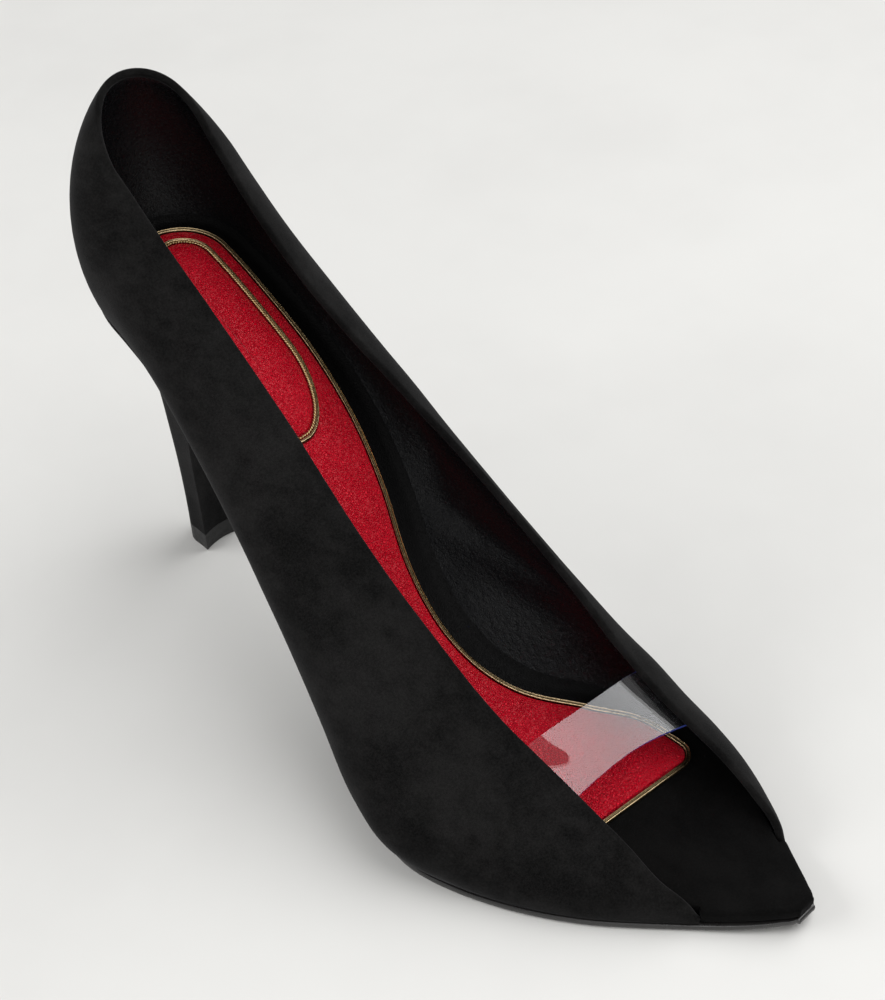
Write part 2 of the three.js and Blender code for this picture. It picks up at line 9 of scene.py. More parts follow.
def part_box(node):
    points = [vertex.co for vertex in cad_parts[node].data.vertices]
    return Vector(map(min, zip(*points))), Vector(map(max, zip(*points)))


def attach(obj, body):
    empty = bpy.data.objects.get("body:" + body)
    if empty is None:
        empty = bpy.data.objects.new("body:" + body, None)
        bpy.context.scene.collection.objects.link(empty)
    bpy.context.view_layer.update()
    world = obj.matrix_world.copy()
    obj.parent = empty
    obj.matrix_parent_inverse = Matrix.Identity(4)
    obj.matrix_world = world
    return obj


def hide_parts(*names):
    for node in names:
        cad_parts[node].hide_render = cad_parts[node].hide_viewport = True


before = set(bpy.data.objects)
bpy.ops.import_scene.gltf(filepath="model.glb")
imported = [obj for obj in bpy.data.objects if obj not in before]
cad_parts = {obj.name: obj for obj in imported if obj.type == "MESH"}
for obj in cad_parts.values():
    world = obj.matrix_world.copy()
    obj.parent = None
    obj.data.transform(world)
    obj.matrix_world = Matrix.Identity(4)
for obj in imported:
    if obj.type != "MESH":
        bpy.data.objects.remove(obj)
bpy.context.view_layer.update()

# Camera.
# It stands in front of the shoe's outer side and looks down on it, and the frame takes in the one whole shoe.
# The sensor's width, in millimetres like the lens, lies along the frame's long side. Places are in metres.
camera_place = Vector((-0.2309, -0.2553, 0.3906))
camera_azimuth = math.radians(-43.5)
camera_elevation = math.radians(42.3)
camera_roll = math.radians(-2.7)
camera_lens = 68.8
sensor_width = 36

back = Vector((
    math.sin(camera_azimuth) * math.cos(camera_elevation),
    -math.cos(camera_azimuth) * math.cos(camera_elevation),
    math.sin(camera_elevation),
))
level = Vector((math.cos(camera_azimuth), math.sin(camera_azimuth), 0))
upright = back.cross(level)
right = level * math.cos(camera_roll) + upright * math.sin(camera_roll)
camera = bpy.data.objects.new("camera", bpy.data.cameras.new("camera"))
camera.data.sensor_width = sensor_width
camera.data.lens = camera_lens
camera.data.clip_start = 0.01
turn_of_camera = Matrix((right, back.cross(right), back)).transposed().to_4x4()
camera.matrix_world = Matrix.Translation(camera_place) @ turn_of_camera
bpy.context.scene.collection.objects.link(camera)
bpy.context.scene.camera = camera
bpy.context.scene.view_settings.view_transform = "Standard"


# Floor and light.
# A plain pale stone floor with faint clouds, one wide soft box over the shoe's inner side, whose straight end
# shows in the clear strap, two weaker ones in front and at the outer side, which lighten the shadows, a small
# one that glints in the lining, and a dim even room.
floor_size = 6
floor_cloud = 0.11
floor_color = (0.7, 0.697, 0.68, 1)
floor_cloud_color = (0.67, 0.666, 0.65, 1)
room_color = (1, 0.995, 0.985, 1)
room_strength = 0.345
boxes = (
    ("name", "place", "way from the shoe", "turn about that way in degrees", "width", "height", "watts"),
    ("over_box", (0.66, -0.39, 1.37), (0.5, 0.05, 0.863), -79, 2.3, 1.45, 25.5),
    ("front_box", (-0.8, -1.2, 0.75), (-0.49, -0.74, 0.46), 0, 1.6, 1.1, 5.5),
    ("left_box", (-1.1, 0.95, 0.75), (-0.67, 0.58, 0.46), 0, 1.2, 0.8, 15),
    ("side_box", (-0.96, -0.15, 0.72), (-0.8, -0.12, 0.6), 0, 0.2, 0.25, 0.3),
)


def add(tree, kind, inputs=None, **settings):
    """A node of a kind, with its settings, and with its inputs linked or set."""
    made = tree.nodes.new(kind)
    for name, value in settings.items():
        setattr(made, name, value)
    for name, value in (inputs or {}).items():
        if isinstance(value, bpy.types.NodeSocket):
            tree.links.new(value, made.inputs[name])
        else:
            made.inputs[name].default_value = value
    return made


def new_material(name, plain):
    """A material, its tree and its shader, with the plain values set on the shader's own sockets."""
    made = bpy.data.materials.new(name)
    made.use_nodes = True
    shader = made.node_tree.nodes["Principled BSDF"]
    for socket, value in plain.items():
        shader.inputs[socket].default_value = value
    return made, made.node_tree, shader


def object_place(tree):
    return add(tree, "ShaderNodeTexCoord").outputs["Object"]


def noise(tree, place, size, detail=2.0, rough=0.5, stretch=(1, 1, 1)):
    """Noise with clouds of a size in metres."""
    mapping = add(tree, "ShaderNodeMapping", {"Vector": place, "Scale": stretch})
    made = add(tree, "ShaderNodeTexNoise", {
        "Vector": mapping.outputs["Vector"], "Scale": 1 / size, "Detail": detail, "Roughness": rough})
    return made.outputs["Fac"]


def ramp(tree, value, low, high, start=0.0, end=1.0):
    made = add(tree, "ShaderNodeMapRange", {
        "Value": value, "From Min": low, "From Max": high, "To Min": start, "To Max": end},
        interpolation_type="SMOOTHSTEP")
    return made.outputs["Result"]


def blend_colors(tree, share, first, second):
    made = add(tree, "ShaderNodeMix", data_type="RGBA")
    for index, value in ((0, share), (6, first), (7, second)):
        if isinstance(value, bpy.types.NodeSocket):
            tree.links.new(value, made.inputs[index])
        else:
            made.inputs[index].default_value = value
    return made.outputs[2]


floor_material, tree, shader = new_material("pale_stone", {"Roughness": 0.45, "Specular IOR Level": 0.35})
clouds = ramp(tree, noise(tree, object_place(tree), floor_cloud, 4, 0.62), 0.35, 0.75)
tree.links.new(blend_colors(tree, clouds, floor_color, floor_cloud_color), shader.inputs["Base Color"])

bpy.ops.mesh.primitive_plane_add(size=floor_size, location=(0, 0, 0))
floor = bpy.context.object
floor.name = "floor"
floor.data.materials.append(floor_material)

room = bpy.data.worlds.new("room")
room.use_nodes = True
room.node_tree.nodes["Background"].inputs["Color"].default_value = room_color
room.node_tree.nodes["Background"].inputs["Strength"].default_value = room_strength
bpy.context.scene.world = room

for name, place, way, turn, width, height, watts in boxes[1:]:
    lamp = bpy.data.lights.new(name, "AREA")
    lamp.shape = "RECTANGLE"
    lamp.size, lamp.size_y, lamp.energy = width, height, watts
    stand = bpy.data.objects.new(name, lamp)
    stand.location = place
    facing = Vector(way).to_track_quat("Z", "Y") @ Quaternion((0, 0, 1), math.radians(turn))
    stand.rotation_euler = facing.to_euler()
    bpy.context.scene.collection.objects.link(stand)


# Outsole.
# Thin black leather, cut to the last's outline and curved with its arch and toe spring, its edge trimmed,
# stained and burnished to a gloss. Sizes here and below are in millimetres, from the toe's tip.
foot_length = 230
ball_width = 77
seat_width = 46
seat_round = 20
heel_height = 96
sole_thickness = 2
breast_place = 190
clearance = 0.3
narrowing_start = 0.37
narrowing_end = 0.87
nudge = 0.002

# Underside of the sole from the side: place along the foot, lift as a share of the heel's height
profile = (
    ("at", "lift"),
    (0, 0.026),
    (0.044, 0.009),
    (0.096, 0),
    (0.322, 0),
    (0.413, 0.052),
    (0.543, 0.25),
    (0.674, 0.542),
    (0.804, 0.786),
    (0.922, 0.943),
    (1, 1),
)

# Feather line from above: reach to each side, as shares of the local width
outline = (
    ("at", "lateral", "medial"),
    (0, -0.073, 0.117),
    (0.005, -0.044, 0.136),
    (0.017, -0.005, 0.162),
    (0.052, 0.091, 0.229),
    (0.087, 0.179, 0.292),
    (0.122, 0.27, 0.343),
    (0.165, 0.375, 0.388),
    (0.209, 0.46, 0.413),
    (0.257, 0.532, 0.419),
    (0.313, 0.59, 0.397),
    (0.37, 0.62, 0.304),
    (0.43, 0.605, 0.166),
    (0.5, 0.574, 0.106),
    (0.565, 0.559, 0.147),
    (0.63, 0.55, 0.264),
    (0.7, 0.545, 0.379),
    (0.778, 0.54, 0.46),
    (0.861, 0.528, 0.482),
    (0.913, 0.522, 0.478),
)

# Reach of the outsole past the feather line, in shares of its thickness
sole_reach = (
    ("at", "out"),
    (0, 0),
    (0.05, 0.25),
    (0.35, 0.25),
    (0.47, -0.7),
    (0.83, -0.6),
)


def column(table, name, open_ends=False):
    """A smooth curve through one column of a table. Rows of equal value stay level between them."""
    index = table[0].index(name)
    at = np.array([row[0] for row in table[1:]], float)
    value = np.array([row[index] for row in table[1:]], float)
    slope = np.diff(value) / np.diff(at)
    tangent = np.zeros(len(at))
    nearness = (at[2:] - at[1:-1]) / (at[2:] - at[:-2])
    tangent[1:-1] = np.where(slope[:-1] * slope[1:] == 0, 0, slope[1:] + (slope[:-1] - slope[1:]) * nearness)
    if open_ends:
        tangent[0], tangent[-1] = slope[0], slope[-1]

    def curve(place):
        place = np.clip(place, at[0], at[-1])
        i = np.clip(np.searchsorted(at, place, side="left") - 1, 0, len(at) - 2)
        span = at[i + 1] - at[i]
        t = (place - at[i]) / span
        ease = t * t * (3 - 2 * t)
        bend = t * (1 - t) * span * ((1 - t) * tangent[i] - t * tangent[i + 1])
        return value[i] + (value[i + 1] - value[i]) * ease + bend

    return curve


seat_start = 1 - seat_round / foot_length
lift_share = column(profile, "lift", True)
feather_reach = {-1: column(outline, "lateral", True), 1: column(outline, "medial", True)}
reach_of_sole = column(sole_reach, "out")


def smooth_step(value, low, high):
    t = np.clip((value - low) / (high - low), 0, 1)
    return t * t * (3 - 2 * t)


def local_width(along):
    return ball_width + (seat_width - ball_width) * smooth_step(along, narrowing_start, narrowing_end)


def sole_height(y):
    return heel_height * lift_share(np.asarray(y) / foot_length)


def feather_height(y):
    return sole_height(y) + sole_thickness + clearance


def points(x, y, z):
    return np.stack(np.broadcast_arrays(x, y, z), -1).astype(float)


def feather(side, along):
    """The feather line from above, and the way that the wall bellies there. side is -1 lateral, 1 medial."""
    along = np.asarray(along, float)
    half = feather_reach[side](np.minimum(along, seat_start)) * local_width(along)
    turn = np.clip((along - seat_start) / (1 - seat_start), 0, 1) * np.pi / 2
    round_y = seat_start * foot_length + seat_round * np.sin(turn)
    y = np.where(along <= seat_start, along * foot_length, round_y)
    return side * half * np.cos(turn), y, side * np.cos(turn), np.sin(turn)


def run_of(side, along):
    """The way that the feather line runs, from above."""
    ax, ay, *_ = feather(side, np.maximum(along - nudge, 0))
    bx, by, *_ = feather(side, np.minimum(along + nudge, 1))
    length = np.hypot(bx - ax, by - ay)
    return (bx - ax) / length, (by - ay) / length


def beside(side, along, inset, height):
    """Points beside the feather line, inset square to it, at a height over the sole's underside."""
    run_x, run_y = run_of(side, along)
    x, y, *_ = feather(side, along)
    x = x - side * run_y * inset
    y = y + side * run_x * inset
    return points(x, y, sole_height(y) + height)


def places(start, end, count, crowding=1.0):
    """Places along the feather line, crowded towards the start."""
    return start + (end - start) * np.linspace(0, 1, count) ** crowding


# The solids' frame has its origin under the middle of the whole shoe.
heel_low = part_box("heel")[0]
sole_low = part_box("outsole")[0]
to_frame = Vector((
    heel_low[0] * 1000 - float(feather(-1, breast_place / foot_length)[0]),
    sole_low[1] * 1000,
    0,
))


def loft(rows, ring=False):
    """Points and faces of a closed skin over rows of points, each row a closed loop."""
    rows = np.asarray(rows, float)
    count, size = rows.shape[:2]
    faces = []
    for i in range(count if ring else count - 1):
        below = (i + 1) % count
        for j in range(size):
            k = (j + 1) % size
            faces.append((i * size + j, i * size + k, below * size + k, below * size + j))
    if not ring:
        for first in (0, (count - 1) * size):
            for j in range(size // 2 - 1):
                faces.append((first + j, first + j + 1, first + size - 2 - j, first + size - 1 - j))
    return rows.reshape(-1, 3), faces


def new_piece(name, skin, finishes, crease=40, finish_of=None):
    """A mesh object at the origin from points in millimetres, its faces turned outwards."""
    vertices, faces = skin
    mesh = bpy.data.meshes.new(name)
    mesh.from_pydata([((Vector(v) + to_frame) / 1000) for v in vertices], [], faces)
    if finish_of is not None:
        mesh.polygons.foreach_set("material_index", finish_of)
    work = bmesh.new()
    work.from_mesh(mesh)
    bmesh.ops.remove_doubles(work, verts=work.verts, dist=1e-7)
    bmesh.ops.dissolve_degenerate(work, edges=work.edges, dist=1e-7)
    bmesh.ops.recalc_face_normals(work, faces=work.faces)
    work.to_mesh(mesh)
    work.free()
    mesh.shade_smooth()
    mesh.set_sharp_from_angle(angle=math.radians(crease))
    for finish in finishes:
        mesh.materials.append(finish)
    made = bpy.data.objects.new(name, mesh)
    bpy.context.scene.collection.objects.link(made)
    return made


def spread(start, end, count):
    """Points from one row of points to another, as an array of rows by points."""
    share = np.linspace(0, 1, count)[None, :, None]
    return start[:, None] * (1 - share) + end[:, None] * share


def new_group(name, inputs, outputs):
    """A shader node group with named number inputs after its Vector, and named number outputs."""
    tree = bpy.data.node_groups.new(name, "ShaderNodeTree")
    tree.interface.new_socket(name="Vector", in_out="INPUT", socket_type="NodeSocketVector")
    for socket, value in inputs.items():
        made = tree.interface.new_socket(name=socket, in_out="INPUT", socket_type="NodeSocketFloat")
        made.default_value = value
    for socket in outputs:
        tree.interface.new_socket(name=socket, in_out="OUTPUT", socket_type="NodeSocketFloat")
    return tree, tree.nodes.new("NodeGroupInput").outputs, tree.nodes.new("NodeGroupOutput").inputs


def use_group(tree, group, inputs):
    made = tree.nodes.new("ShaderNodeGroup")
    made.node_tree = group
    for name, value in inputs.items():
        if isinstance(value, bpy.types.NodeSocket):
            tree.links.new(value, made.inputs[name])
        else:
            made.inputs[name].default_value = value
    return made.outputs


def math_node(tree, operation, first, second, third=None):
    made = tree.nodes.new("ShaderNodeMath")
    made.operation = operation
    for index, value in enumerate((first, second, third)):
        if isinstance(value, bpy.types.NodeSocket):
            tree.links.new(value, made.inputs[index])
        elif value is not None:
            made.inputs[index].default_value = value
    return made.outputs[0]


def bump(tree, height, depth, strength=1.0, under=None):
    inputs = {"Height": height, "Distance": depth, "Strength": strength}
    if under is not None:
        inputs["Normal"] = under
    return add(tree, "ShaderNodeBump", inputs).outputs["Normal"]


# Leather grain: rounded pebbles between fine furrows. Size is a pebble's width in metres.
grain, ins, outs = new_group(
    "leather_grain", {"Size": 0.0007, "Furrow": 0.3, "Wander": 0.4}, ("Height", "Furrows"))
wander = add(grain, "ShaderNodeTexNoise", {
    "Vector": ins["Vector"], "Scale": math_node(grain, "DIVIDE", 0.8, ins["Size"]), "Detail": 1.0})
shifted = add(
    grain, "ShaderNodeVectorMath", {0: wander.outputs["Color"], 1: (0.5, 0.5, 0.5)}, operation="SUBTRACT")
scaled = add(grain, "ShaderNodeVectorMath", {
    0: shifted.outputs["Vector"],
    "Scale": math_node(grain, "MULTIPLY", ins["Wander"], math_node(grain, "MULTIPLY", ins["Size"], 2.0)),
}, operation="SCALE")
moved = add(grain, "ShaderNodeVectorMath", {0: ins["Vector"], 1: scaled.outputs["Vector"]}, operation="ADD")
cells = add(grain, "ShaderNodeTexVoronoi", {
    "Vector": moved.outputs["Vector"], "Scale": math_node(grain, "DIVIDE", 1.0, ins["Size"]),
    "Randomness": 0.95,
}, feature="DISTANCE_TO_EDGE")
rounded = add(grain, "ShaderNodeMapRange", {
    "Value": cells.outputs["Distance"], "From Min": 0.0, "From Max": ins["Furrow"],
}, interpolation_type="SMOOTHSTEP")
grain.links.new(rounded.outputs["Result"], outs["Height"])
grain.links.new(math_node(grain, "SUBTRACT", 1.0, rounded.outputs["Result"]), outs["Furrows"])

sole_leather, tree, shader = new_material("burnished_sole_leather", {
    "Base Color": (0.012, 0.011, 0.011, 1), "Specular IOR Level": 0.5, "Coat Weight": 0.35,
    "Coat Roughness": 0.16})
place = object_place(tree)
rubbed = noise(tree, place, 0.004, 3, 0.6)
tree.links.new(ramp(tree, rubbed, 0.3, 0.75, 0.24, 0.42), shader.inputs["Roughness"])
fine = use_group(tree, grain, {"Vector": place, "Size": 0.0005, "Furrow": 0.4})
tree.links.new(bump(tree, fine["Height"], 0.00001, 1.0, bump(tree, rubbed, 0.00006)), shader.inputs["Normal"])


def rounded_tip(rows, radius, steps=5):
    """The rows with a rounded front end before them: their first ring, brought forward and drawn in."""
    first = rows[0]
    middle = (first.max(0) + first.min(0)) / 2
    half = (first.max(0) - first.min(0)) / 2
    tip = []
    for turn in np.linspace(0, np.pi / 2, steps)[:-1]:
        share = 1 - radius * (1 - math.sin(turn)) / np.maximum(half, radius)
        tip.append(middle + (first - middle) * share - (0, radius * math.cos(turn), 0))
    return np.concatenate([tip, rows])


tip_radius = 0.9
sole_tuck = 0.8
along = places(tip_radius / foot_length, (breast_place + sole_tuck) / foot_length, 200, 1.3)
reach = reach_of_sole(along) * sole_thickness
edge_rows = (
    # the burnished edge is slightly rounded
    ("height over the underside", "inset from the edge"),
    (sole_thickness, 0.35),
    (1.9, 0.1),
    (1.6, 0),
    (0.75, 0),
    (0.45, 0.12),
    (0.15, 0.35),
    (0, 0.75),
)
sides = {
    side: np.stack([beside(side, along, inset - reach, height) for height, inset in edge_rows[1:]], 1)
    for side in (-1, 1)
}
under = spread(sides[1][:, -1], sides[-1][:, -1], 14)
over = spread(sides[-1][:, 0], sides[1][:, 0], 14)
rows = np.concatenate([over, sides[1][:, 1:], under[:, 1:], sides[-1][:, ::-1][:, 1:-1]], 1)
outsole = new_piece("outsole_leather", loft(rounded_tip(rows, tip_radius)), [sole_leather], 50)
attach(outsole, "root")
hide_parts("outsole")


# Upper.
# Two wings of black suede, cut in one with the back, lasted under the insole, and turned over a reinforcing
# tape at the topline, where the edge is folded in and stitched down on the lining.
collar_height = 52
upper_wall = 2
topline_round = 0.7
suede_thickness = 1.15
turn_in = 1.1
belly_height = 0.42
shoulder_height = 0.8

# Walls of the wings: the topline's rise as a share of the collar's height, reaches as shares of the width
lateral_wing = (
    ("at", "rise", "belly", "shoulder", "topline"),
    (0.079, 0.025, 0.162, 0.161, 0.158),
    (0.087, 0.073, 0.186, 0.179, 0.166),
    (0.122, 0.2, 0.283, 0.244, 0.206),
    (0.165, 0.312, 0.399, 0.297, 0.214),
    (0.209, 0.385, 0.494, 0.336, 0.216),
    (0.257, 0.467, 0.579, 0.364, 0.221),
    (0.313, 0.587, 0.71, 0.432, 0.238),
    (0.37, 0.708, 0.81, 0.485, 0.252),
    (0.43, 0.792, 0.8, 0.48, 0.26),
    (0.5, 0.8, 0.735, 0.475, 0.269),
    (0.565, 0.762, 0.7, 0.48, 0.271),
    (0.63, 0.673, 0.715, 0.505, 0.264),
    (0.7, 0.596, 0.73, 0.53, 0.261),
    (0.778, 0.58, 0.735, 0.56, 0.275),
    (0.861, 0.68, 0.702, 0.56, 0.311),
    (0.913, 0.815, 0.674, 0.57, 0.335),
    (0.957, 0.96, 0.66, 0.585, 0.374),
    (1, 1, 0.652, 0.598, 0.413),
)
medial_wing = (
    ("at", "rise", "belly", "shoulder", "topline"),
    (0.072, 0.025, 0.269, 0.268, 0.264),
    (0.087, 0.1, 0.3, 0.292, 0.279),
    (0.122, 0.217, 0.36, 0.33, 0.284),
    (0.165, 0.306, 0.421, 0.369, 0.291),
    (0.209, 0.377, 0.462, 0.394, 0.292),
    (0.257, 0.462, 0.487, 0.406, 0.288),
    (0.313, 0.581, 0.501, 0.43, 0.294),
    (0.37, 0.708, 0.46, 0.421, 0.299),
    (0.43, 0.788, 0.404, 0.411, 0.302),
    (0.5, 0.792, 0.412, 0.419, 0.312),
    (0.565, 0.754, 0.478, 0.448, 0.319),
    (0.63, 0.662, 0.56, 0.485, 0.321),
    (0.7, 0.59, 0.615, 0.52, 0.319),
    (0.778, 0.58, 0.65, 0.548, 0.316),
    (0.861, 0.68, 0.652, 0.539, 0.322),
    (0.913, 0.815, 0.63, 0.535, 0.324),
    (0.957, 0.96, 0.616, 0.543, 0.346),
    (1, 1, 0.608, 0.554, 0.369),
)
wing_curves = {
    side: {name: column(table, name) for name in table[0][1:]}
    for side, table in ((-1, lateral_wing), (1, medial_wing))
}
wing_start = {-1: lateral_wing[1][0], 1: medial_wing[1][0]}


def pull_points(side, along):
    """The four points that shape a wall's section: reach and height over the feather line."""
    curves = wing_curves[side]
    width = local_width(along)
    foot = feather_reach[side](np.minimum(along, seat_start))
    rise = curves["rise"](along) * collar_height
    upper_reaches = [(curves[name](along) - foot) * width for name in ("belly", "shoulder", "topline")]
    return [0 * rise, *upper_reaches], [0 * rise, belly_height * rise, shoulder_height * rise, rise]


def wing_face(side, along, t):
    """Points of the wing's outer face. t goes from 0 at the feather line to 1 at the topline."""
    along, t = np.broadcast_arrays(np.asarray(along, float), np.asarray(t, float))
    x, y, out_x, out_y = feather(side, along)
    reaches, heights = pull_points(side, along)
    weights = ((1 - t) ** 3, 3 * t * (1 - t) ** 2, 3 * t * t * (1 - t), t ** 3)
    reach = sum(w * r for w, r in zip(weights, reaches))
    height = sum(w * h for w, h in zip(weights, heights))
    return points(x + out_x * reach, y + out_y * reach, feather_height(y) + height)


def wing_frame(side, along, t):
    """The face's points, with its outward and rising ways."""
    along, t = np.broadcast_arrays(np.asarray(along, float), np.asarray(t, float))
    low, high = np.maximum(along - nudge, wing_start[side]), np.minimum(along + nudge, 1)
    along_way = wing_face(side, high, t) - wing_face(side, low, t)
    below, above = np.maximum(t - nudge, 0), np.minimum(t + nudge, 1)
    rising = wing_face(side, along, above) - wing_face(side, along, below)
    outward = np.cross(along_way, rising) * side
    outward /= np.linalg.norm(outward, axis=-1, keepdims=True)
    rising /= np.linalg.norm(rising, axis=-1, keepdims=True)
    return wing_face(side, along, t), outward, rising


def wing_point(side, along, t, depth):
    along, t, depth = np.broadcast_arrays(along, t, depth)
    face, outward, _ = wing_frame(side, along, t)
    return face - outward * depth[..., None]


def below_topline(side, along, distance):
    """The t of a place a distance under the topline, on a low wall no further than a third of its height."""
    reaches, heights = pull_points(side, along)
    pace = 3 * np.hypot(reaches[3] - reaches[2], heights[3] - heights[2])
    return 1 - np.minimum(distance / pace, 0.3)


def wing_rows(section):
    """Rows of a section all round the shoe, from the lateral wing's end by the back to the medial one's."""
    lateral = section(-1, places(wing_start[-1], 1, 250, 1.15))
    medial = section(1, places(wing_start[1], 1, 250, 1.15))
    return np.concatenate([lateral, medial[::-1][1:]])


def weighted(tree, first, first_share, second, second_share):
    """The sum of two values, each times its share."""
    return math_node(
        tree, "ADD", math_node(tree, "MULTIPLY", first, first_share),
        math_node(tree, "MULTIPLY", second, second_share))


# Nap: short fibres brushed both ways, in soft patches of lighter and darker tone.
nap, ins, outs = new_group("suede_nap", {"Patch": 0.5, "Fleck": 0.5}, ("Tone", "Height"))
patches = noise(nap, ins["Vector"], 0.016, 3, 0.55, (1, 0.7, 1))
marks = noise(nap, ins["Vector"], 0.0035, 3, 0.6, (1, 0.6, 1))
flecks = noise(nap, ins["Vector"], 0.0006, 2, 0.7)
fibres = noise(nap, ins["Vector"], 0.00022, 2, 0.6, (1, 0.45, 1))
soft = ramp(nap, weighted(nap, patches, 0.65, marks, 0.35), 0.36, 0.66)
sharp = ramp(nap, weighted(nap, flecks, 0.6, fibres, 0.4), 0.33, 0.68)
nap.links.new(weighted(nap, soft, ins["Patch"], sharp, ins["Fleck"]), outs["Tone"])
nap.links.new(fibres, outs["Height"])


def suede_material(name, dark, light, sheen):
    made, tree, shader = new_material(name, {
        "Roughness": 0.95, "Specular IOR Level": 0.08, "Sheen Weight": sheen, "Sheen Roughness": 0.42,
        "Sheen Tint": (0.75, 0.75, 0.78, 1)})
    brushed = use_group(tree, nap, {"Vector": object_place(tree), "Patch": 0.55, "Fleck": 0.45})
    tree.links.new(blend_colors(tree, brushed["Tone"], dark, light), shader.inputs["Base Color"])
    tree.links.new(bump(tree, brushed["Height"], 0.00007, 1.0), shader.inputs["Normal"])
    return made


black_suede = suede_material("black_suede", (0.001, 0.001, 0.001, 1), (0.0135, 0.013, 0.0128, 1), 0.075)

# The lower edge of the suede is lasted: depth behind the face and drop under the feather line, point by point
lasted_edge = (
    ("depth", "drop"),
    (1.1, 0.28),
    (0.5, 0.26),
    (0.12, 0.12),
)


def suede_section(side, along):
    along = along[:, None]
    low_fold = below_topline(side, along, turn_in)
    rows = []
    depth, drop = np.array(lasted_edge[1:]).T
    foot = wing_point(side, along, 0, depth[None, :])
    foot[..., 2] -= drop
    rows.append(foot)
    rows.append(wing_point(side, along, np.linspace(0, 1, 40)[None, 1:], 0))
    turn = np.linspace(0, np.pi, 11)[None, 1:-1]
    edge, outward, rising = wing_frame(side, along, 1)
    across = (1 - np.cos(turn)) * upper_wall / 2
    rise = topline_round * np.sin(turn) ** 0.8
    rows.append(edge - outward * across[..., None] + rising * rise[..., None])
    rows.append(wing_point(side, along, 1 + (low_fold - 1) * np.array([[0, 0.35, 0.7, 0.92]]), upper_wall))
    rows.append(wing_point(side, along, low_fold, np.array([[1.86, 1.6, suede_thickness]])))
    rows.append(wing_point(side, along, low_fold * np.linspace(1, 0, 16)[None, 1:], suede_thickness))
    return np.concatenate(rows, 1)


suede = new_piece("upper_suede", loft(wing_rows(suede_section)), [black_suede], 60)
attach(suede, "root")
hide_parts("upper")


# Lining.
# Smooth black leather, glued inside the wings and stitched under the folded topline, with soft creases where
# it was drawn over the last's waist, and a heel grip laid in behind an upright seam.
# Creases run from one place to another, along the foot and up the wall, both as shares. Widths and depths are
# in millimetres.
creases = (
    ("from_at", "from_up", "to_at", "to_up", "width", "depth"),
    (0.60, 0.05, 0.545, 0.22, 2.4, 0.5),
    (0.545, 0.22, 0.42, 0.48, 3.0, 0.45),
    (0.54, 0.08, 0.42, 0.2, 3.6, 0.15),
    (0.48, 0.62, 0.36, 0.52, 4.5, 0.12),
    (0.72, 0.3, 0.62, 0.16, 4.0, 0.18),
)
grip_seam = 0.788
grip_step = 0.2
seam_run = 0.0015
hidden_creases = 0.6
tuck_under = 0.22

lining_leather, tree, shader = new_material("black_lining_leather", {
    "Base Color": (0.0062, 0.0064, 0.0072, 1), "Specular IOR Level": 0.2})
place = object_place(tree)
fine = use_group(tree, grain, {"Vector": place, "Size": 0.0006, "Furrow": 0.35, "Wander": 0.9})
wrinkles = noise(tree, place, 0.0011, 2, 0.6, (1, 0.45, 0.8))
tree.links.new(ramp(tree, wrinkles, 0.3, 0.7, 0.2, 0.3), shader.inputs["Roughness"])
wrinkled = bump(tree, wrinkles, 0.00012)
tree.links.new(bump(tree, fine["Height"], 0.00003, 1.0, wrinkled), shader.inputs["Normal"])


def lining_depth(side, along, t):
    """How deep the lining's face lies behind the suede's: the wall, with the creases and the grip's seam."""
    depth = np.full(np.broadcast(along, t).shape, float(upper_wall))
    rise = wing_curves[side]["rise"](along) * collar_height
    for from_at, from_up, to_at, to_up, width, deep in creases[1:]:
        share = np.clip((along - from_at) / (to_at - from_at), -0.15, 1.15)
        beyond = (along - from_at - share * (to_at - from_at)) * foot_length
        off = (t - from_up - share * (to_up - from_up)) * rise
        fade = np.exp(-((2 * share - 1) / 1.1) ** 4 - (beyond / width) ** 2)
        fold = np.exp(-(off / width) ** 2) - 0.7 * np.exp(-((off - 1.7 * width) / width) ** 2)
        depth = depth + deep * fold * fade * (1 if side > 0 else hidden_creases)
    return depth + grip_step * smooth_step(along, grip_seam, grip_seam + seam_run)


def lining_section(side, along):
    along = along[:, None]
    top = below_topline(side, along, turn_in + tuck_under)
    rows = [wing_point(side, along, top, np.array([[suede_thickness + 0.05, 1.6, 1.88]]))]
    t = top * np.linspace(1, 0, 46)[None, 1:]
    rows.append(wing_point(side, along, t, lining_depth(side, along, t)))
    rows.append(wing_point(side, along, top * np.linspace(0, 1, 16)[None, :-1], suede_thickness + 0.05))
    return np.concatenate(rows, 1)


lining = new_piece("upper_lining", loft(wing_rows(lining_section)), [lining_leather], 50)
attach(lining, "root")
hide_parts("upper")


# Insole.
# A stiff board covered in the upper's suede. In front it lies bare as the toe's platform, its rounded edge
# wrapped; behind the wings' ends it fills the shoe and shows as a narrow border round the sock.
insole_thickness = 3.6
platform_inset = 0.5
facet_room = 0.3
border_start = 72
# Heights are over the board's underside. The wrapped edge is rounded above and below, and behind the border's
# start the covered board runs up the wall in a soft hollow.
border_run = 30
insole_edge = (
    ("height", "inset", "covered_height", "covered_inset"),
    (0, 0.5, 0, 0.5),
    (0.35, 0.1, 0.6, 0.1),
    (0.9, 0, 2.0, 0),
    (2.3, 0, 4.9, -0.4),
    (2.9, 0.15, 4.3, 0.1),
    (3.35, 0.5, 3.8, 0.7),
    (3.6, 1.15, 3.6, 1.7),
)


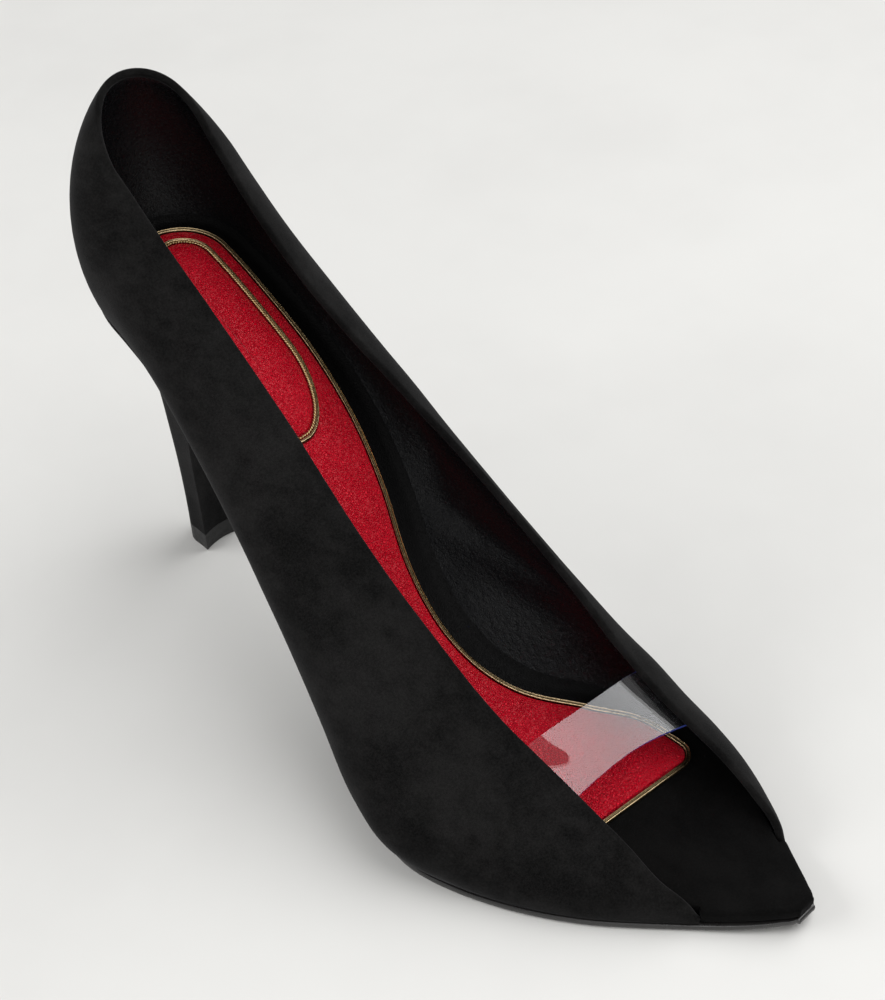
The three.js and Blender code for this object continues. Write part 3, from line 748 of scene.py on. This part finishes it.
def inside_wing(side, along, height):
    """A point on the wall's inner face at a height over the feather line."""
    depth = upper_wall + clearance + facet_room
    t = np.linspace(0, 0.8, 33)[None, :]
    face = wing_point(side, along[:, None], t, depth)
    level = face[..., 2] - feather_height(face[..., 1])
    found = np.empty((len(along), 2))
    for i in range(len(along)):
        reached = np.argmax(level[i] >= height[i]) if (level[i] >= height[i]).any() else len(t[0]) - 1
        reached = max(reached, 1)
        low, high = level[i, reached - 1], level[i, reached]
        share = np.clip((height[i] - low) / (high - low), 0, 1)
        found[i] = face[i, reached - 1, :2] * (1 - share) + face[i, reached, :2] * share
    return points(found[:, 0], found[:, 1], feather_height(found[:, 1]) + height)


def insole_side(side, height, inset, covered_height, covered_inset):
    start = wing_start[side]
    bare = places(tip_radius / foot_length, start - clearance / foot_length, 46, 1.5)
    covered = places(start + 0.001, 0.996, 200, 1.1)
    platform = beside(side, bare, platform_inset + inset, sole_thickness + clearance + height)
    share = smooth_step(covered * foot_length, border_start - border_run, border_start)
    covered_height = height + (covered_height - height) * share
    covered_inset = inset * 0.4 + (covered_inset - inset * 0.4) * share
    walled = inside_wing(side, covered, covered_height)
    run_x, run_y = run_of(side, covered)
    walled[:, 0] -= side * run_y * covered_inset
    walled[:, 1] += side * run_x * covered_inset
    walled[:, 2] = feather_height(walled[:, 1]) + covered_height
    return np.concatenate([platform, walled])


# The platform's cover is the upper's suede with its colour painted darker, as painted shade, and with less
# sheen
insole_suede_painted_shade = suede_material("insole_suede_painted_shade", (0.0006, 0.0006, 0.0006, 1), (0.0045, 0.0043, 0.0042, 1), 0.035)
border_leather, tree, shader = new_material("black_border_leather", {
    "Base Color": (0.002, 0.0019, 0.002, 1), "Roughness": 0.42, "Specular IOR Level": 0.09})
fine = use_group(tree, grain, {"Vector": object_place(tree), "Size": 0.0006, "Furrow": 0.35, "Wander": 0.9})
tree.links.new(bump(tree, fine["Height"], 0.00005), shader.inputs["Normal"])
sides = {side: np.stack([insole_side(side, *row) for row in insole_edge[1:]], 1) for side in (-1, 1)}
top = spread(sides[-1][:, -1], sides[1][:, -1], 20)
bottom = spread(sides[1][:, 0], sides[-1][:, 0], 20)
rows = np.concatenate([top, sides[1][:, ::-1][:, 1:], bottom[:, 1:], sides[-1][:, 1:-1]], 1)
vertices, faces = loft(rounded_tip(rows, tip_radius))
finish_of = [int(vertices[face[0]][1] > border_start) for face in faces]
insole = new_piece("insole_board", (vertices, faces), [insole_suede_painted_shade, border_leather], 60, finish_of)
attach(insole, "root")
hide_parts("insole")


# Sock.
# Red goatskin with a small pebble grain, laid over the insole from the ball to the heel, its edge turned
# under.
sock_thickness = 1
sock_border = 3.6
sock_place = 0.221
sock_front = sock_place * foot_length
sock_corner = 4
edging_width = 1.2
sock_inset = upper_wall + clearance + sock_border + edging_width + clearance
sock_level = sole_thickness + clearance + insole_thickness + clearance

red_leather, tree, shader = new_material("red_goatskin", {"Specular IOR Level": 0.36})
place = object_place(tree)
pebbles = use_group(tree, grain, {"Vector": place, "Size": 0.0007, "Furrow": 0.36, "Wander": 0.8})
softness = noise(tree, place, 0.012, 3, 0.55)
body = blend_colors(tree, ramp(tree, softness, 0.3, 0.7), (0.8, 0.001, 0.02, 1), (0.92, 0.0014, 0.026, 1))
# The furrows between the pebbles are painted a darker red: painted shade in the grain's hollows
furrow_shade = math_node(tree, "MULTIPLY", pebbles["Furrows"], 0.6)
tree.links.new(blend_colors(tree, furrow_shade, body, (0.42, 0.0008, 0.01, 1)), shader.inputs["Base Color"])
tree.links.new(ramp(tree, softness, 0.3, 0.7, 0.3, 0.42), shader.inputs["Roughness"])
tree.links.new(
    bump(tree, pebbles["Height"], 0.0003, 1.0, bump(tree, softness, 0.0002, 0.6)), shader.inputs["Normal"])


def sock_side(side, grow, height, count=190, corner_count=10):
    """One side's edge of the sock from front to back, grown by a distance."""
    corner_place = (sock_front + sock_corner) / foot_length
    centre = beside(side, corner_place, sock_inset + sock_corner, height)
    run_x, run_y = run_of(side, corner_place)
    sweep = math.atan2(run_y, side * run_x)
    angle = np.linspace(0, sweep, corner_count)[:-1]
    radius = sock_corner + grow
    x = centre[0] + side * radius * np.sin(angle)
    y = centre[1] - radius * np.cos(angle)
    corner = points(x, y, sole_height(y) + height)
    edge = beside(side, places(corner_place, 0.99, count), sock_inset - grow, height)
    return np.concatenate([corner, edge])


def sheet_rows(side_at, thickness, edge=0.45, across=22):
    """Rows of a thin sheet with a rounded edge, from the function that gives its sides."""
    edge_line = (
        ("share of the thickness", "growth"),
        (0, -0.25),
        (0.3, -0.02),
        (0.62, 0),
        (0.86, -0.18),
        (1, -edge),
    )
    sides = {
        side: np.stack([side_at(side, grow, thickness * share) for share, grow in edge_line[1:]], 1)
        for side in (-1, 1)
    }
    top = spread(sides[-1][:, -1], sides[1][:, -1], across)
    bottom = spread(sides[1][:, 0], sides[-1][:, 0], across)
    return np.concatenate([top, sides[1][:, ::-1][:, 1:], bottom[:, 1:], sides[-1][:, 1:-1]], 1)


rows = sheet_rows(lambda side, grow, height: sock_side(side, grow, sock_level + height), sock_thickness)
sock = new_piece("sock_leather", loft(rows), [red_leather], 60)
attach(sock, "root")
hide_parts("sock")


# Sock edging.
# A narrow strip of gold foiled leather, folded round a thread and sewn under the sock's edge.
def loop_of(side_at):
    """A closed loop of the two sides and the straight front."""
    lateral, medial = side_at(-1), side_at(1)
    front = spread(medial[:1], lateral[:1], 30)[0][1:-1]
    return np.concatenate([lateral, medial[::-1], front])


def strip_rows(loop, section, width, height):
    """Rows of a strip round a closed loop of points, from a section in shares of its width and height."""
    run = np.roll(loop, -1, 0) - np.roll(loop, 1, 0)
    run /= np.linalg.norm(run, axis=1, keepdims=True)
    outward = -np.cross(run, (0, 0, 1))
    outward /= np.linalg.norm(outward, axis=1, keepdims=True)
    upward = np.cross(run, outward)
    across, up = np.array(section).T[:, None, :, None]
    return loop[:, None] + outward[:, None] * across * width + upward[:, None] * up * height


# Across the strip from its inner edge to its outer, with the height over its middle
strip_section = (
    (-0.5, -0.5), (-0.54, -0.1), (-0.53, 0.28), (-0.47, 0.47), (-0.38, 0.5), (-0.29, 0.38), (-0.2, 0.26),
    (0, 0.22), (0.2, 0.26), (0.29, 0.38), (0.38, 0.5), (0.47, 0.47), (0.53, 0.28), (0.54, -0.1), (0.5, -0.5),
    (0, -0.5),
)
# The points of the strip's lips, which get the brighter gold: a painted highlight
painted_highlight_lips = (2, 3, 4, 9, 10, 11)


def foil_material(name, dull, bright, rough, smooth):
    made, tree, shader = new_material(name, {"Metallic": 1.0, "Specular IOR Level": 0.5})
    place = object_place(tree)
    foil = noise(tree, place, 0.0005, 3, 0.65)
    worn = noise(tree, place, 0.004, 2, 0.5)
    color = blend_colors(tree, ramp(tree, foil, 0.35, 0.65), dull, bright)
    tree.links.new(color, shader.inputs["Base Color"])
    tree.links.new(ramp(tree, worn, 0.3, 0.7, smooth, rough), shader.inputs["Roughness"])
    tree.links.new(bump(tree, foil, 0.00006), shader.inputs["Normal"])
    return made


# Two copies of one gold foil: the darker is painted shade for the strip's flat top and middle, the brighter a
# painted highlight for its lips
gold_painted_shade = foil_material("gold_foil_painted_shade", (0.06, 0.042, 0.02, 1), (0.17, 0.125, 0.065, 1), 0.5, 0.38)
gold_painted_highlight = foil_material("gold_foil_painted_highlight", (0.5, 0.36, 0.19, 1), (0.86, 0.66, 0.4, 1), 0.36, 0.24)


def foiled_strip(name, loop, width, height):
    """A strip of foil round a loop: its lips are a brighter gold as a painted highlight, and the rest a
    darker gold as painted shade.
    """
    rows = strip_rows(loop, strip_section, width, height)
    finish_of = [int(j in painted_highlight_lips) for j in range(len(strip_section))] * len(rows)
    return new_piece(name, loft(rows, ring=True), [gold_painted_shade, gold_painted_highlight], 60, finish_of)


edging_height = 1.1
edging_middle = 0.5
middle_grow = clearance + edging_width / 2
loop = loop_of(lambda side: sock_side(side, middle_grow, sock_level + edging_middle, 330, 16))
edging = foiled_strip("sock_piping", loop, edging_width, edging_height)
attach(edging, "root")
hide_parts("sock_edging")


# Heel pad.
# A thin foam cushion covered in the sock's red leather, crowned in the middle, its round nose towards the
# waist.
pad_border = 3.7
pad_front = 164
pad_nose = 17
cord_width = 1.5
nose_sweep = 0.94
pad_inset = sock_inset + pad_border + cord_width + clearance
pad_level = sock_level + sock_thickness + clearance


def pad_side(side, grow, height, count=60, nose_count=40):
    """One side's edge of the heel pad from its nose to the back, grown by a distance."""
    nose_place = (pad_front + pad_nose) / foot_length
    wide = beside(side, nose_place, pad_inset - grow, height)
    other = beside(-side, nose_place, pad_inset - grow, height)
    middle = (wide[0] + other[0]) / 2
    angle = np.pi / 2 * nose_sweep * (1 - np.linspace(0, 1, nose_count)[:-1])
    x = middle + (wide[0] - middle) * np.cos(angle)
    y = pad_front + pad_nose - (pad_nose + grow) * np.sin(angle)
    nose = points(x, y, sole_height(y) + height)
    return np.concatenate([nose, beside(side, places(nose_place, 0.985, count), pad_inset - grow, height)])


def pad_rings(loop, spine_start, spine_end, levels):
    """Rings from the pad's edge in to its spine along the middle, each at a share of the way and a height."""
    spine_y = np.clip(loop[:, 1], spine_start, spine_end)
    nose_x, pad_x = loop[loop[:, 1] < spine_start][:, 0].mean(), loop[:, 0].mean()
    middle = np.interp(spine_y, (spine_start, spine_end), (nose_x, pad_x))
    rings = []
    for share, height in levels:
        x = loop[:, 0] + (middle - loop[:, 0]) * share
        y = loop[:, 1] + (spine_y - loop[:, 1]) * share
        rings.append(points(x, y, sole_height(y) + pad_level + height))
    return np.array(rings)


# The cushion's section: share of the way in to the spine, height over the pad's underside
pad_levels = (
    (0.03, 0), (0.005, 0.25), (0, 0.6), (0.02, 0.95), (0.06, 1.22), (0.13, 1.5), (0.25, 1.8), (0.4, 2.06),
    (0.6, 2.26), (0.8, 2.36), (0.96, 2.4),
)
under_levels = ((0.96, 0), (0.5, 0))
spine = (pad_front + 12.5, 208)
loop = loop_of(lambda side: pad_side(side, 0, pad_level))
rings = pad_rings(loop, *spine, pad_levels)
floor_rings = pad_rings(loop, *spine, under_levels)
vertices, faces = loft(np.concatenate([floor_rings, rings]))
size = len(loop)
faces = faces[: (len(floor_rings) + len(rings) - 1) * size]
last = (len(floor_rings) + len(rings) - 1) * size
half = size // 2
for first in (0, last):
    for j in range(half - 1):
        faces.append((first + j, first + j + 1, first + size - 2 - j, first + size - 1 - j))
pad = new_piece("heel_pad_cushion", (vertices, faces), [red_leather], 70)
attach(pad, "root")
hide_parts("heel_pad")


# Heel pad cord.
# Two gold threads laid into a cord and stitched down round the pad's edge, with a foiled strip outside it.
gold_thread, tree, shader = new_material("gold_thread", {"Metallic": 1.0})
place = object_place(tree)
glint = noise(tree, place, 0.0004, 2, 0.6)
tree.links.new(
    blend_colors(tree, ramp(tree, glint, 0.35, 0.65), (0.5, 0.33, 0.15, 1), (0.85, 0.64, 0.36, 1)),
    shader.inputs["Base Color"])
tree.links.new(ramp(tree, glint, 0.3, 0.7, 0.26, 0.42), shader.inputs["Roughness"])
tree.links.new(bump(tree, glint, 0.00005), shader.inputs["Normal"])

cord_turn = 1.5
strand_width = 0.6
thread_width = 0.75


def new_tree(name, inputs):
    """A geometry node tree with named inputs: geometry first, then numbers."""
    tree = bpy.data.node_groups.new(name, "GeometryNodeTree")
    tree.interface.new_socket(name="Geometry", in_out="INPUT", socket_type="NodeSocketGeometry")
    keys = {}
    for socket, (kind, value) in inputs.items():
        made = tree.interface.new_socket(name=socket, in_out="INPUT", socket_type=kind)
        if value is not None:
            made.default_value = value
        keys[socket] = made.identifier
    tree.interface.new_socket(name="Geometry", in_out="OUTPUT", socket_type="NodeSocketGeometry")
    return tree, keys, tree.nodes.new("NodeGroupInput").outputs, tree.nodes.new("NodeGroupOutput").inputs


def thread_row(name, curve_points, closed, spacing, length, width, lean, finish):
    """A plain mesh piece: a row of thread lays along a line through points, its sizes in millimetres."""
    line = bpy.data.curves.new(name + "_line", "CURVE")
    line.dimensions = "3D"
    spline = line.splines.new("POLY")
    spline.points.add(len(curve_points) - 1)
    for point, place in zip(spline.points, curve_points):
        point.co = (*((Vector(place) + to_frame) / 1000), 1)
    spline.use_cyclic_u = closed
    carrier = bpy.data.objects.new(name + "_line", line)
    bpy.context.scene.collection.objects.link(carrier)
    modifier = carrier.modifiers.new("grow", "NODES")
    modifier.node_group = lay
    values = {
        "Spacing": spacing / 1000, "Length": length / 1000, "Width": width / 1000, "Lean": math.radians(lean),
        "Thread": finish,
    }
    for socket, value in values.items():
        modifier[lay_keys[socket]] = value
    tree_result = carrier.evaluated_get(bpy.context.evaluated_depsgraph_get())
    mesh = bpy.data.meshes.new_from_object(tree_result)
    carrier.modifiers.clear()
    bpy.data.objects.remove(carrier)
    mesh.name = name
    mesh.shade_smooth()
    made = bpy.data.objects.new(name, mesh)
    bpy.context.scene.collection.objects.link(made)
    return made


lay, lay_keys, ins, outs = new_tree("thread_lay", {
    "Spacing": ("NodeSocketFloat", 0.001),
    "Length": ("NodeSocketFloat", 0.001),
    "Width": ("NodeSocketFloat", 0.0005),
    "Lean": ("NodeSocketFloat", 0.0),
    "Thread": ("NodeSocketMaterial", None),
})
spaced = add(lay, "GeometryNodeResampleCurve", {
    "Curve": ins["Geometry"], "Length": ins["Spacing"]}, mode="LENGTH")
strand = add(lay, "GeometryNodeMeshUVSphere", {"Segments": 12, "Rings": 8, "Radius": 0.5})
shape = add(lay, "ShaderNodeCombineXYZ", {"X": ins["Width"], "Y": ins["Width"], "Z": ins["Length"]})
formed = add(lay, "GeometryNodeTransform", {"Geometry": strand.outputs["Mesh"], "Scale": shape.outputs[0]})
lean = add(lay, "ShaderNodeCombineXYZ", {"Y": ins["Lean"]})
leaned = add(lay, "GeometryNodeTransform", {
    "Geometry": formed.outputs["Geometry"], "Rotation": lean.outputs[0]})
tangent = add(lay, "GeometryNodeInputTangent")
facing = add(lay, "FunctionNodeAlignEulerToVector", {"Vector": tangent.outputs[0]}, axis="Z")
turned = add(lay, "FunctionNodeAlignEulerToVector", {
    "Rotation": facing.outputs[0], "Vector": (0, 0, 1)}, axis="Y", pivot_axis="Z")
instances = add(lay, "GeometryNodeInstanceOnPoints", {
    "Points": spaced.outputs["Curve"], "Instance": leaned.outputs["Geometry"], "Rotation": turned.outputs[0]})
realized = add(lay, "GeometryNodeRealizeInstances", {"Geometry": instances.outputs["Instances"]})
threads = add(
    lay, "GeometryNodeSetMaterial", {"Geometry": realized.outputs["Geometry"], "Material": ins["Thread"]})
lay.links.new(threads.outputs["Geometry"], outs["Geometry"])

thread_grow = clearance + thread_width / 2
loop = loop_of(lambda side: pad_side(side, thread_grow, pad_level + cord_width / 2))
cord = thread_row(
    "heel_pad_thread", loop, True, cord_turn / 2, cord_turn * 0.85, strand_width, 38, gold_thread)
strip_grow = clearance + (thread_width + cord_width) / 2
loop = loop_of(lambda side: pad_side(side, strip_grow, pad_level + cord_width / 3))
strip = foiled_strip("heel_pad_strip", loop, cord_width - thread_width, 0.9)
for piece in (cord, strip):
    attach(piece, "root")
    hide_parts("heel_pad_cord")


# Strap.
# A band of clear polished plastic, arched over the ball, its ends glued and stitched inside the wings. Its
# cut edges look blue.
strap_thickness = 1
strap_arch = 3.8
strap_bow = 2
strap_place = {-1: 0.235, 1: 0.22}
strap_width = {-1: 15.5, 1: 16.5}
strap_tuck = 0.24
strap_dents = (
    ("share of the way back", "share of the way across", "radius", "depth"),
    (0.42, 0.36, 6.5, 0.3),
    (1.0, 0.45, 5.0, 0.18),
)
strap_front = {side: strap_place[side] * foot_length for side in (-1, 1)}
strap_back = {side: strap_front[side] + strap_width[side] for side in (-1, 1)}


def strap_line(across):
    """Points over the strap's length, at a share of the way from its front to its back."""
    depth = upper_wall + clearance + strap_thickness / 2
    at = {side: (strap_front[side] + strap_width[side] * across) / foot_length for side in (-1, 1)}

    def end(side, share):
        return wing_point(side, at[side], 1 - share * strap_tuck, depth)

    lateral, medial = end(-1, 0), end(1, 0)
    crest = (lateral + medial) / 2 + (0, -strap_bow * across, strap_arch)
    knots = np.array([end(-1, 1), end(-1, 0.5), lateral, crest, medial, end(1, 0.5), end(1, 1)])
    return smooth_line(knots, strap_steps)


def smooth_line(knots, count):
    """A centripetal curve through knots, at even steps of its parameter."""
    result = []
    last = len(knots) - 1
    for t in np.linspace(0, 1, count + 1):
        place = t * last
        i = min(int(place), last - 1)
        weight = place - i
        p1, p2 = knots[i], knots[i + 1]
        p0 = knots[i - 1] if i > 0 else 2 * knots[0] - knots[1]
        p3 = knots[i + 2] if i + 2 <= last else 2 * knots[last] - knots[last - 1]
        spans = (p1 - p0, p2 - p1, p3 - p2)
        d0, d1, d2 = (max(float(np.dot(span, span)) ** 0.25, 1e-4) for span in spans)
        m1 = ((p1 - p0) / d0 - (p2 - p0) / (d0 + d1) + (p2 - p1) / d1) * d1
        m2 = ((p2 - p1) / d1 - (p3 - p1) / (d1 + d2) + (p3 - p2) / d2) * d1
        w2, w3 = weight * weight, weight ** 3
        from_first = p1 * (2 * w3 - 3 * w2 + 1) + m1 * (w3 - 2 * w2 + weight)
        result.append(from_first + p2 * (3 * w2 - 2 * w3) + m2 * (w3 - w2))
    return np.array(result)


def outward_of(lines):
    """The way out of the band at each point of its centre lines."""
    out = np.cross(np.gradient(lines, axis=1), np.gradient(lines, axis=0))
    return out / np.linalg.norm(out, axis=-1, keepdims=True)


strap_steps = 96
strap_rows = 20
centre_lines = np.array([strap_line(share) for share in np.linspace(0, 1, strap_rows + 1)])
strap_out = outward_of(centre_lines)
for back_share, cross_share, radius, depth in strap_dents[1:]:
    middle = centre_lines[round(back_share * strap_rows), round(cross_share * strap_steps)]
    off = np.linalg.norm(centre_lines - middle, axis=-1, keepdims=True)
    centre_lines = centre_lines - strap_out * depth * np.exp(-((off / radius) ** 2))
strap_out = outward_of(centre_lines)

clear_plastic, tree, shader = new_material("clear_band", {
    "Base Color": (0.95, 0.965, 1.0, 1), "Roughness": 0.02, "IOR": 1.53, "Transmission Weight": 0.995,
    "Metallic": 0.0})
ripple = noise(tree, object_place(tree), 0.022, 0, 0.4)
tree.links.new(bump(tree, ripple, 0.0004), shader.inputs["Normal"])

edge_plastic, tree, shader = new_material("clear_band_edge", {
    "Base Color": (0.1, 0.16, 0.75, 1), "Roughness": 0.2, "IOR": 1.48, "Transmission Weight": 0.25,
    "Metallic": 0.0})
tree.links.new(bump(tree, noise(tree, object_place(tree), 0.002), 0.0001), shader.inputs["Normal"])

top = centre_lines + strap_out * strap_thickness / 2
bottom = centre_lines - strap_out * strap_thickness / 2
rows = np.concatenate([top, bottom[:, ::-1]], 1)
vertices, faces = loft(rows)
loop_size = rows.shape[1]
finish_of = [0] * ((len(rows) - 1) * loop_size)
finish_of += [1] * (len(faces) - len(finish_of))
strap = new_piece("clear_strap", (vertices, faces), [clear_plastic, edge_plastic], 30, finish_of)
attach(strap, "root")
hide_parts("vamp_strap")

# Each end is held by a row of stitches a little under the topline.
stitch_below = 2.3
stitch_spacing = 2.6
stitch_length = 1.7
stitch_width = 0.42
stitch_margin = 0.8
stitch_sink = 0.05
stitch_thread, tree, shader = new_material(
    "strap_stitch_thread", {"Roughness": 0.6, "Specular IOR Level": 0.4})
strands = noise(tree, object_place(tree), 0.0003, 2, 0.6)
tree.links.new(
    blend_colors(tree, ramp(tree, strands, 0.35, 0.65), (0.05, 0.014, 0.014, 1), (0.2, 0.07, 0.065, 1)),
    shader.inputs["Base Color"])
tree.links.new(bump(tree, strands, 0.00005), shader.inputs["Normal"])
for side, name in ((-1, "lateral_strap_stitches"), (1, "medial_strap_stitches")):
    along = np.linspace(strap_front[side] + stitch_margin, strap_back[side] - stitch_margin, 40) / foot_length
    depth = upper_wall + clearance + strap_thickness + stitch_sink
    line = wing_point(side, along, below_topline(side, along, stitch_below), depth)
    stitches = thread_row(name, line, False, stitch_spacing, stitch_length, stitch_width, 0, stitch_thread)
    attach(stitches, "root")


# Heel.
# A slim high block of moulded plastic wrapped in the upper's suede, hollowed in front, under the seat.
breast_hollow = 4
stem_width = 11.5
stem_front = 208.5
stem_back = 219.5
top_piece_height = 6
breast_steps = 22

# The heel going down: from 0 at the seat's own outline to 1 at the stem's
heel_taper = (
    ("at", "spread", "front", "back"),
    (0, 0, 0, 0),
    (0.08, 0.26, 0.22, 0.12),
    (0.2, 0.6, 0.56, 0.34),
    (0.36, 0.83, 0.82, 0.6),
    (0.6, 0.94, 0.97, 0.85),
    (1, 1, 1, 1),
)
heel_curves = {name: column(heel_taper, name) for name in heel_taper[0][1:]}


def heel_level(down, height=None):
    """One level of the heel. down goes from 0 at the seat to 1 at the tip."""
    narrowing = 1 + (stem_width / seat_width - 1) * heel_curves["spread"](down)
    front = breast_place + (stem_front - breast_place) * heel_curves["front"](down)
    rear = foot_length + (stem_back - foot_length) * heel_curves["back"](down)
    breast_share = breast_place / foot_length
    middle = (feather(-1, breast_share)[0] + feather(1, breast_share)[0]) / 2

    def side_line(side):
        stations = np.concatenate([places(breast_share, seat_start, 12)[:-1], places(seat_start, 1, 24)])
        x, y, *_ = feather(side, stations)
        depth = (y - breast_place) / (foot_length - breast_place)
        top = sole_height(y) + sole_thickness
        z = top + (top_piece_height + clearance - top) * down if height is None else np.full_like(y, height)
        return points(middle + (x - middle) * narrowing, front + (rear - front) * depth, z)

    lateral, medial = side_line(-1), side_line(1)[::-1][1:]
    across = np.linspace(0, 1, breast_steps)[1:-1]
    breast = spread(medial[-1:], lateral[:1], breast_steps)[0][1:-1]
    breast[:, 1] += breast_hollow * narrowing * 4 * across * (1 - across)
    return np.concatenate([lateral, medial, breast])


def fan_capped(rows):
    """A skin over rows, with a point in the middle of each end."""
    rows = np.asarray(rows)
    count, size = rows.shape[:2]
    vertices, faces = loft(rows)
    faces = faces[: (count - 1) * size]
    vertices = np.concatenate([vertices, [rows[0].mean(0)], [rows[-1].mean(0)]])
    for first, middle in ((0, count * size), ((count - 1) * size, count * size + 1)):
        faces += [(middle, first + j, first + (j + 1) % size) for j in range(size)]
    return vertices, faces


levels = [heel_level(down) for down in places(0, 1, 70, 1.4)]
heel = new_piece("heel_wrap", fan_capped(levels), [black_suede], 45)
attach(heel, "root")
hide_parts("heel")


# Top piece.
# A wear plate of hard black rubber, nailed under the heel and trimmed flush with its suede.
plate_rubber, tree, shader = new_material("plate_rubber", {
    "Base Color": (0.013, 0.013, 0.013, 1), "Specular IOR Level": 0.4})
scuffs = noise(tree, object_place(tree), 0.0012, 3, 0.7)
tree.links.new(ramp(tree, scuffs, 0.3, 0.7, 0.45, 0.68), shader.inputs["Roughness"])
tree.links.new(bump(tree, scuffs, 0.00005), shader.inputs["Normal"])

plate_edge = (
    ("height", "inset"),
    (top_piece_height, 0.15),
    (5.8, 0),
    (0.4, 0),
    (0.12, 0.12),
    (0, 0.4),
)
middle = heel_level(1, top_piece_height).mean(0) * (1, 1, 0)
levels = []
for height, inset in plate_edge[1:]:
    ring = heel_level(1, height)
    way = (middle + (0, 0, height)) - ring
    way /= np.linalg.norm(way, axis=1, keepdims=True)
    levels.append(ring + way * inset)
top_piece = new_piece("heel_top_piece", fan_capped(levels), [plate_rubber], 40)
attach(top_piece, "root")
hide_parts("top_piece")
